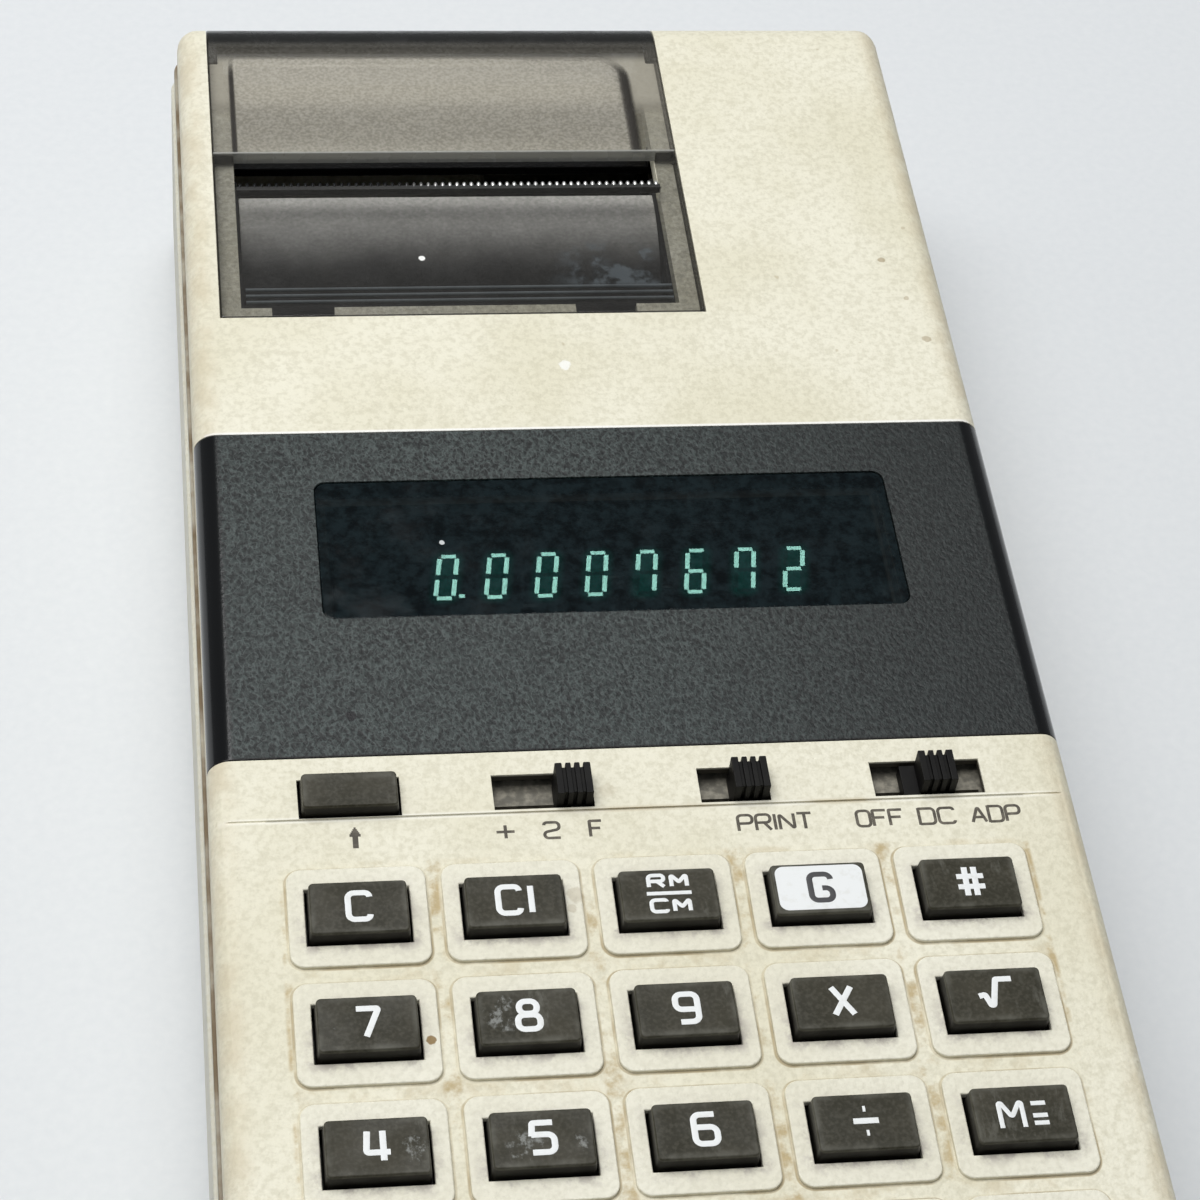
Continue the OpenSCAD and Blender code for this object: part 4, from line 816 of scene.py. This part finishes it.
# %% Ribs of the cover and the fixed window
# Painted shade: the dark rib stands in for the shade along the chute's walls.
f = Finish("shade_rib_smoke", 0.5, 0.3)
f.set("Alpha", shade_rib_line(f)[1])
shade_rib_smoke = f.coat(f.noise(2), tint(30, 26, 21), tint(48, 42, 36))
f = Finish("rib_grey", 0.5, 0.3)
rib_grey = f.coat(f.noise(3), tint(92, 98, 100), tint(120, 126, 127))
RIB_LEFT, RIB_RIGHT = RIB_X - RIB_HALF_W, RIB_X + RIB_HALF_W
RIB_FRONT, RIB_BACK = SPLIT_Y + 0.6 * MM, RIB_Y + RIB_HALF_L
left_half = [(RIB_LEFT, RIB_FRONT), (RIB_LEFT, RIB_BACK), (RIB_X, RIB_BACK)]
right_half = [(RIB_X, RIB_BACK), (RIB_RIGHT, RIB_BACK), (RIB_RIGHT, RIB_FRONT)]
draw([(RIB_LEFT_R / RIB_R, left_half), (1, right_half)], "paper_cover_shade_rib", "paper_cover",
     shade_rib_smoke, DECK_Z - 0.6 * MM, 2 * RIB_REACH_RIGHT, RIB_R, 0.7 * MM)
LEDGE_Y, RIDGE_PITCH = mm(51.0, 1.0)
RIDGE_ENDS, UNDERSIDE = mm(-37.2, 12.0), DECK_Z - 1.7 * MM
strips = [(0, [(x, LEDGE_Y + i * RIDGE_PITCH) for x in RIDGE_ENDS]) for i in range(3)]
draw(strips, "print_window_ribs", "case", rib_grey, UNDERSIDE, 0.36 * MM, 0, 0.5 * MM)
print("ribs under both windows")

# %% [markdown]
# ## Key legends
# The white signs are moulded through the caps, so they stay clear however worn the cap is. One key has a
# white face with a dark sign.

# %% White and dark sign finishes
f = Finish("legend_white", 0.45, 0.4)
legend_white = f.coat(f.step(f.noise(0.8), 0.5, 0.75, 0.0, 0.5), tint(237, 239, 238), tint(222, 222, 216))
f = Finish("legend_dark", 0.5, 0.4)
legend_dark = f.coat(f.noise(1.0), tint(58, 58, 60), tint(74, 73, 74))
f = Finish("label_print", 0.6, 0.3)
label_print = f.coat(f.step(f.noise(0.7), 0.4, 0.7), tint(84, 79, 70), tint(112, 106, 94))
print("three inks for signs and labels")

# %% One legend for each key
SIGN_W, SIGN_H, SIGN_STROKE, SIGN_CORNER = mm(2.08, 3.06, 0.6, 0.62)
FACE_T = 0.03 * MM
SIGNS = {"key_clear": "C", "key_grand_total": "G", "key_item": "#", "key_multiply": "x",
         "key_square_root": "root", "key_divide": "/", "key_minus": "-", "key_plus": "+", "key_equals": "=",
         "key_percent": "%", "key_point": "."}
SIGNS.update({"key_" + digit: digit for digit in "0123456789"})


def cap_middle(node):
    low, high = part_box(node)
    return (low.x + high.x) / 2, (low.y + high.y) / 2, high.z


for node in KEYS:
    x, y, top = cap_middle(node)
    ink, slot, stroke, corner = legend_white, "white_key_plastic", SIGN_STROKE, SIGN_CORNER
    if node == "key_clear_entry":
        strokes = sign("C", x - 0.6 * MM, y, SIGN_W, SIGN_H) + sign("I", x + 1.55 * MM, y, SIGN_W, SIGN_H)
    elif node == "key_recall_memory":
        stroke, corner = 0.42 * MM, 0.4 * MM
        strokes = [(0, [(x - 2.2 * MM, y + 0.05 * MM), (x + 2.2 * MM, y + 0.05 * MM)])]
        for letters, row in (("RM", 1.5 * MM), ("CM", -1.4 * MM)):
            for letter, column in zip(letters, (-1.12 * MM, 1.12 * MM)):
                strokes += sign(letter, x + column, y + row, 1.5 * MM, 1.35 * MM)
    elif node in ("key_memory_minus", "key_memory_plus"):
        stroke = 0.46 * MM
        mark = "-" if node == "key_memory_minus" else "+"
        strokes = sign("M", x - 1.2 * MM, y, SIGN_W * 1.05, SIGN_H)
        strokes += sign(mark, x + 1.5 * MM, y + 0.95 * MM, 1.4 * MM, 1.6 * MM)
        strokes += sign("=", x + 1.5 * MM, y - 0.75 * MM, 1.4 * MM, 2.0 * MM)
    else:
        strokes = sign(SIGNS[node], x, y, SIGN_W, SIGN_H)
    if node == "key_grand_total":
        ink, slot, top = legend_dark, "knob_plastic", top + FACE_T
    draw(strokes, node + "_sign", node, ink, top, stroke, corner)
print(len(KEYS), "key legends")

# %% White face of the total key
FACE_W, FACE_L, FACE_R, FACE_SUNK = mm(8.7, 5.15, 0.9, 0.1)
x, y, top = cap_middle("key_grand_total")
outline = []
for side_x, side_y, start in ((1, 1, 0), (-1, 1, 90), (-1, -1, 180), (1, -1, 270)):
    for angle in range(start, start + 91, 10):
        turned = Vector((math.cos(math.radians(angle)), math.sin(math.radians(angle)))) * FACE_R
        middle_x, middle_y = x + side_x * (FACE_W / 2 - FACE_R), y + side_y * (FACE_L / 2 - FACE_R)
        outline.append((middle_x + turned.x, middle_y + turned.y))
mesh = bmesh.new()
face = mesh.faces.new([mesh.verts.new((px, py, top - FACE_SUNK)) for px, py in outline])
for part in bmesh.ops.extrude_face_region(mesh, geom=[face])["geom"]:
    if isinstance(part, bmesh.types.BMVert):
        part.co.z = top + FACE_T
bmesh.ops.recalc_face_normals(mesh, faces=mesh.faces)
make_piece(mesh, "key_grand_total_face", "key_grand_total", legend_white)
print("white face with", len(outline), "points round it")

# %% [markdown]
# ## Deck labels
# Thin grey-brown prints in front of the feed key and the switches say what each position does.

# %% Deck labels
LABEL_Y, LABEL_H, LABEL_STROKE, LABEL_CORNER, LABEL_T = mm(-25.5, 1.9, 0.33, 0.42, 0.03)
WORDS = [("PRINT", 8.4, 15.9), ("OFF", 20.5, 25.2), ("DC", 26.9, 30.5), ("ADP", 32.3, 37.3)]
SINGLES = [("+", -14.9, 1.8), ("2", -10.3, 1.5), ("F", -5.9, 1.2)]
ARROW_X, ARROW_HEAD, ARROW_LINES = -29.7 * MM, 0.55 * MM, 5
strokes = []
for letters, x0, x1 in WORDS:
    strokes += word(letters, x0 * MM, x1 * MM, LABEL_Y, LABEL_H)
for character, column, width in SINGLES:
    strokes += sign(character, column * MM, LABEL_Y, width * MM, LABEL_H)
for side in (-0.12 * MM, 0.12 * MM):
    strokes.append((0, [(ARROW_X + side, LABEL_Y - 1.3 * MM), (ARROW_X + side, LABEL_Y + 0.5 * MM)]))
for i in range(ARROW_LINES):
    reach = ARROW_HEAD * (1 - i / ARROW_LINES)
    level = LABEL_Y + (0.25 + 0.2 * i) * MM
    strokes.append((0, [(ARROW_X - reach, level), (ARROW_X + reach, level)]))
draw(strokes, "deck_labels", "case", label_print, DECK_Z, LABEL_STROKE, LABEL_CORNER, LABEL_T)
print(len(strokes), "strokes in the deck labels")

# %% [markdown]
# ## Lit digits
# The display is a vacuum tube: glowing segments on a black plate behind glass. The same strokes draw the
# segments, leaning a little to the right. Unlit segments show as faint grey with a faint painted glow, and
# the lit ones throw a faint green glow on the plate behind them.

# %% Segments of the display
DIGIT_Z, DIGIT_X, DIGIT_Y, DIGIT_PITCH = mm(32.0, 1.7, 12.45, 5.44)
DIGIT_W, DIGIT_H, UPRIGHT_GAP, LEVEL_GAP = mm(1.9, 5.9, 0.37, 0.16)
SEGMENT_W, SEGMENT_CORNER = mm(0.5, 0.1)
LEAN, FIRST_COLUMN = 0.16, -3.5
GLOW_GREEN = (0.0, 1.0, 0.78)
LIT = {"0": "abcdef", "2": "abged", "6": "acdefg", "7": "abcf"}
ENDS = {"a": ((0, 2), (1, 2)), "b": ((1, 2), (1, 1)), "c": ((1, 1), (1, 0)), "d": ((0, 0), (1, 0)),
        "e": ((0, 1), (0, 0)), "f": ((0, 2), (0, 1)), "g": ((0, 1), (1, 1))}


def segment(name, column):
    a, b = [Vector((px * DIGIT_W, py * DIGIT_H / 2)) for px, py in ENDS[name]]
    along = (b - a).normalized() * (LEVEL_GAP if name in "adg" else UPRIGHT_GAP)
    line = []
    for p in (a + along, b - along):
        rise = p.y - DIGIT_H / 2
        line.append((DIGIT_X + column * DIGIT_PITCH + p.x - DIGIT_W / 2 + LEAN * rise, DIGIT_Y + rise))
    return (0, line)


f = Finish("lit_segment", 0.5, 0.3)
f.set("Emission Color", (0.48, 1.0, 0.86))
f.set("Emission Strength", 17.0)
lit_green = f.coat(f.noise(0.6, 2), (0.25, 0.6, 0.45), (0.35, 0.7, 0.55))
# Painted glow: the unlit segments give off a faint green light.
f = Finish("unlit_segment", 0.6, 0.3)
f.set("Emission Color", GLOW_GREEN)
f.set("Emission Strength", 0.3)
unlit_grey_painted_glow = f.coat(f.noise(0.5, 2), (0.010, 0.014, 0.013), (0.02, 0.026, 0.024))
lit, unlit = [], []
for place, digit in enumerate("00007672"):
    for name in ENDS:
        (lit if name in LIT[digit] else unlit).append(segment(name, FIRST_COLUMN + place))
point_x, point_y = DIGIT_X + FIRST_COLUMN * DIGIT_PITCH + 1.45 * MM, DIGIT_Y - DIGIT_H / 2 + 0.25 * MM
lit.append((0, [(point_x - 0.3 * MM, point_y), (point_x + 0.3 * MM, point_y)]))
for strokes, name, ink in ((lit, "lit_digits", lit_green), (unlit, "unlit_digits", unlit_grey_painted_glow)):
    draw(strokes, name, "case", ink, DIGIT_Z, SEGMENT_W, SEGMENT_CORNER)
print(len(lit), "segments lit,", len(unlit), "dark")

# %% Tube and its plate
PLATE_Y, PLATE_DROP = mm(12.1, 0.3)
PLATE_SIZE = mm(64.4, 18.4, 0.4)


def block(middle, size):
    mesh = bmesh.new()
    bmesh.ops.create_cube(mesh, size=1, matrix=Matrix.Translation(middle) @ Matrix.Diagonal((*size, 1)))
    return mesh


f = Finish("tube_glass", 0.05, 0.5)
f.set("Alpha", 0.18)
f.set("Roughness", f.step(f.noise(6), 0.4, 0.7, 0.03, 0.09))
dress("display_tube", f.coat(f.noise(9), (0.01, 0.016, 0.016), (0.02, 0.028, 0.028)))
f = Finish("tube_plate", 0.75, 0.2)
f.bump(f.noise(0.4, 2), 0.02)
rise = f.off("Y", DIGIT_Y)
leaned = f.math("SUBTRACT", f.off("X", DIGIT_X), f.both(rise, LEAN))
in_digit = f.math("SUBTRACT", f.math("WRAP", leaned, DIGIT_PITCH, 0.0), DIGIT_PITCH / 2)
near = f.rounded_box(in_digit, rise, DIGIT_W / 2, DIGIT_H / 2, 0.5 * MM)
f.set("Emission Color", GLOW_GREEN)
f.set("Emission Strength", f.both(f.ramp(near, 1.2, -0.3, 0.0, 0.55),
                                  f.step(f.math("ABSOLUTE", leaned), 4.05 * DIGIT_PITCH, 3.95 * DIGIT_PITCH)))
tube_plate = f.coat(f.noise(2), (0.004, 0.006, 0.006), (0.009, 0.012, 0.012))
tube_low, tube_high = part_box("display_tube")
mesh = block(((tube_low.x + tube_high.x) / 2, PLATE_Y, DIGIT_Z - PLATE_DROP), PLATE_SIZE)
round_edges(mesh, 0.1 * MM)
make_piece(mesh, "tube_anode_plate", "case", tube_plate)

# %% [markdown]
# A soft black gasket closes the gap between the tube and the window, so that no light or dust gets in. It is
# a thin frame just inside the opening, built from four rings of corners, two outside and two inside.

# %% Display gasket
GASKET_INSET, GASKET_T = mm(1.1, 0.5)
window_low, window_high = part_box("display_window")
mesh = bmesh.new()
rings = []
for inset in (GASKET_INSET, GASKET_INSET + GASKET_T):
    x0, y0 = window_low.x + inset, window_low.y + inset
    x1, y1 = window_high.x - inset, window_high.y - inset
    for level in (tube_high.z, window_low.z):
        rings.append([mesh.verts.new((px, py, level)) for px, py in ((x0, y0), (x1, y0), (x1, y1), (x0, y1))])
for first, second in ((0, 1), (1, 3), (3, 2), (2, 0)):
    for i in range(4):
        j = (i + 1) % 4
        mesh.faces.new((rings[first][i], rings[first][j], rings[second][j], rings[second][i]))
bmesh.ops.recalc_face_normals(mesh, faces=mesh.faces)
print("gasket rounded on", round_edges(mesh, 0.08 * MM), "edges")
make_piece(mesh, "display_gasket", "case", tube_plate)

# %% [markdown]
# ## Tear bar
# Paper tears off against a steel blade with a row of fine rounded teeth, painted dark at the left end as
# painted shade. The teeth are one flattened bead, set along a line by Geometry Nodes.

# %% Steel finishes
f = Finish("bright_steel", 0.28, 0.5)
f.set("Metallic", 1.0)
f.set("Roughness", f.step(f.noise(1.5, stretch=(1, 0.1, 1)), 0.3, 0.7, 0.2, 0.38))
steel = f.coat(f.noise(2, 4, stretch=(0.2, 1, 1)), tint(178, 178, 174), tint(208, 208, 204))
f = Finish("dull_steel", 0.5, 0.5)
f.set("Metallic", 0.6)
dull_steel = f.coat(f.noise(2, 4, stretch=(0.2, 1, 1)), tint(40, 40, 39), tint(62, 62, 60))
f = Finish("tooth_steel", 0.3, 0.5)
f.set("Metallic", 0.9)
# Painted shade: the teeth darken towards the left end.
left_end_shade = f.ramp("X", -9, -19)
bright = f.mix(f.noise(1.1, 2), tint(214, 214, 210), tint(246, 246, 242))
tooth_steel = f.coat(left_end_shade, bright, tint(30, 31, 31))
print("three steels")

# %% Blade and teeth
TOOTH_PITCH, TOOTH_REACH, TOOTH_DROP = mm(0.85, 0.5, 0.16)
TOOTH_SIZE, TOOTH_LEAN = mm(0.55, 0.95, 0.5), math.radians(20)
tree, given, result = new_tree("tear_teeth", [
    ("Count", "Int"), ("Pitch", "Float"), ("Tooth Size", "Vector"), ("Start", "Vector"), ("Lean", "Float"),
    ("Metal", "Material")])
stride = add_node(tree, "ShaderNodeCombineXYZ", {0: given["Pitch"]})
row = add_node(tree, "GeometryNodeMeshLine",
               {"Count": given["Count"], "Start Location": given["Start"], "Offset": stride})
bead = add_node(tree, "GeometryNodeMeshUVSphere", {"Segments": 10, "Rings": 7, "Radius": 0.5})
lean = add_node(tree, "ShaderNodeCombineXYZ", {0: given["Lean"]})
placed = add_node(tree, "GeometryNodeInstanceOnPoints",
                  {"Points": row, "Instance": bead, "Rotation": lean, "Scale": given["Tooth Size"]})
close_tree(tree, placed, given["Metal"], result)

low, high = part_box("tear_bar")
middle = (low + high) / 2
mesh = block((middle.x, middle.y - TOOTH_REACH / 2, middle.z),
             (high.x - low.x, high.y - low.y - TOOTH_REACH, high.z - low.z))
round_edges(mesh, 0.12 * MM)
make_piece(mesh, "tear_bar_blade", "case", dull_steel, "tear_bar")
tooth_count = int((high.x - low.x) / TOOTH_PITCH)
start = (middle.x - (tooth_count - 1) / 2 * TOOTH_PITCH, high.y - TOOTH_REACH, high.z - TOOTH_DROP)
values = {"Count": tooth_count, "Pitch": TOOTH_PITCH, "Tooth Size": TOOTH_SIZE, "Start": start,
          "Lean": TOOTH_LEAN, "Metal": tooth_steel}
grow(bpy.data.meshes.new("tooth_line"), "tear_bar_teeth", tree, values, "case")
print(tooth_count, "teeth on the tear bar")

# %% [markdown]
# ## Inside and underneath
# The pieces under the windows, inside the case and below it keep their CAD shape and get their own finish:
# moulded grey and black plastics, nylon gears, rubber, turned and stamped steel, boards with copper tracks
# and cells in a printed jacket.


# %% Finishes for the plain pieces
def plain_finish(name, dark, light, roughness, size=4, grain=0.4, depth=0.02, metal=0.0, specular=0.5):
    f = Finish(name, roughness, specular)
    f.set("Metallic", metal)
    f.set("Roughness", f.step(f.noise(size * 0.6), 0.35, 0.7, roughness * 0.8, roughness * 1.2))
    f.bump(f.noise(grain, 2), depth)
    return f.coat(f.step(f.noise(size, 4), 0.35, 0.7), dark, light)


grey_plastic = plain_finish("grey_plastic", tint(22, 23, 24), tint(34, 35, 35), 0.6, specular=0.25)
# The switch bodies' dusty grey is lightened as painted light, so the slot floors look lit inside their shade.
switch_grey_painted_light = plain_finish("switch_grey_painted_light", tint(106, 103, 93), tint(152, 147, 133), 0.6,
                           size=0.9, specular=0.3)
black_plastic = plain_finish("black_plastic", tint(26, 26, 27), tint(42, 42, 42), 0.45)
gear_nylon = plain_finish("gear_nylon", tint(214, 208, 190), tint(232, 227, 212), 0.4)
rubber = plain_finish("rubber", tint(30, 29, 28), tint(48, 46, 44), 0.8,
                      grain=0.25, depth=0.04, specular=0.25)
dome_rubber = plain_finish("dome_rubber", tint(182, 182, 176), tint(204, 203, 196), 0.65, specular=0.3)
motor_steel = plain_finish("motor_steel", tint(150, 150, 148), tint(184, 184, 180), 0.35,
                           metal=1.0, depth=0.005)
print("plain finishes ready")

# %% Guide, boards and cells
SHADE_BACK, SHADE_FRONT = mm(66, 58)
f = Finish("guide_grey", 0.5, 0.4)
f.bump(f.noise(0.5, 2), 0.02)
guide_dust = f.mix(f.step(f.noise(3, 5, 0.65), 0.35, 0.7, 0.0, 0.3), tint(206, 204, 197), tint(164, 162, 156))
shade_y = f.math("SUBTRACT", f.axis("Y"), f.both(f.noise(6, 4), 3 * MM))
guide_grey = f.coat(f.step(shade_y, SHADE_BACK, SHADE_FRONT), guide_dust, tint(18, 20, 21))

f = Finish("track_board", 0.45, 0.5)
bricks = f.nodes.new("ShaderNodeTexBrick")
f.links.new(f.place, bricks.inputs["Vector"])
for label, number in (("Scale", 90.0), ("Mortar Size", 0.06), ("Brick Width", 0.9), ("Row Height", 0.16)):
    bricks.inputs[label].default_value = number
tracks = f.both(bricks.outputs["Fac"], f.step(f.noise(9, 2), 0.45, 0.55))
board = f.mix(f.noise(7), tint(120, 92, 48), tint(138, 108, 60))
track_board = f.coat(tracks, board, tint(70, 104, 62))

f = Finish("cell_jacket", 0.35, 0.5)
jacket = f.mix(f.ramp("X", -0.2, 0.2), tint(40, 62, 96), tint(52, 74, 110))
cell_jacket = f.coat(f.noise(5), jacket, tint(60, 84, 120))
print("guide, boards and cells have their own finishes")

# %% Painting the pieces that keep their CAD shape
PAINT = {grey_plastic: ("printer_frame",), guide_grey: ("paper_guide",), switch_grey_painted_light: ("switch_bodies",),
         gear_nylon: ("platen_gear", "idler_gear", "motor_pinion"), rubber: ("platen_roller",),
         track_board: ("key_board", "logic_board"), black_plastic: ("print_head", "board_components"),
         cell_jacket: ("batteries",), motor_steel: ("print_motor",),
         steel: ("case_screws", "cover_hinge_pins", "platen_shaft", "head_spring", "battery_contacts")}
for finish, nodes in PAINT.items():
    for node in nodes:
        materials = frame["nodes"][node].data.materials
        materials.clear()
        materials.append(finish)
dress("feet", rubber, 0.35 * MM)
dress("dc_jack", black_plastic, 0.15 * MM)
painted = sum(len(nodes) for nodes in PAINT.values())
print("painted", painted, "CAD nodes;", len(BODY_OF) - painted, "are replaced")

# %% [markdown]
# ## Rubber domes
# A key springs back because it stands on a rubber dome, and the dome collapses under it. The CAD sheet is cut
# just above its flat part: the flat part stays one piece, and each dome becomes a piece of its own.

# %% Dome sheet and its domes
DOME_H, DOME_REACH, DOME_EDGE = mm(2.7, 3.6, 0.3)
SHEET_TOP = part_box("key_dome_sheet")[1].z - DOME_H


def cut_sheet(keep_upper):
    mesh = node_copy("key_dome_sheet")
    bmesh.ops.bisect_plane(mesh, geom=mesh.verts[:] + mesh.edges[:] + mesh.faces[:], dist=0.001 * MM,
                           plane_co=(0, 0, SHEET_TOP + 0.02 * MM), plane_no=(0, 0, 1),
                           clear_inner=keep_upper, clear_outer=not keep_upper)
    bmesh.ops.holes_fill(mesh, edges=[e for e in mesh.edges if e.is_boundary], sides=0)
    bmesh.ops.recalc_face_normals(mesh, faces=mesh.faces)
    return mesh


make_piece(cut_sheet(False), "key_dome_sheet_flat", "case", dome_rubber, "key_dome_sheet")
all_domes = cut_sheet(True)
for node in KEYS + ["feed_key"]:
    x, y = cap_middle(node)[:2]
    mesh = all_domes.copy()
    far = [v for v in mesh.verts if (v.co.xy - Vector((x, y))).length > DOME_REACH]
    bmesh.ops.delete(mesh, geom=far, context="VERTS")
    round_edges(mesh, DOME_EDGE, lambda p: p.z > SHEET_TOP + DOME_H - 0.1 * MM)
    dome = make_piece(mesh, node + "_dome", "case", dome_rubber)
    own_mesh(dome)
all_domes.free()
print(len(KEYS) + 1, "domes flatten with their keys")
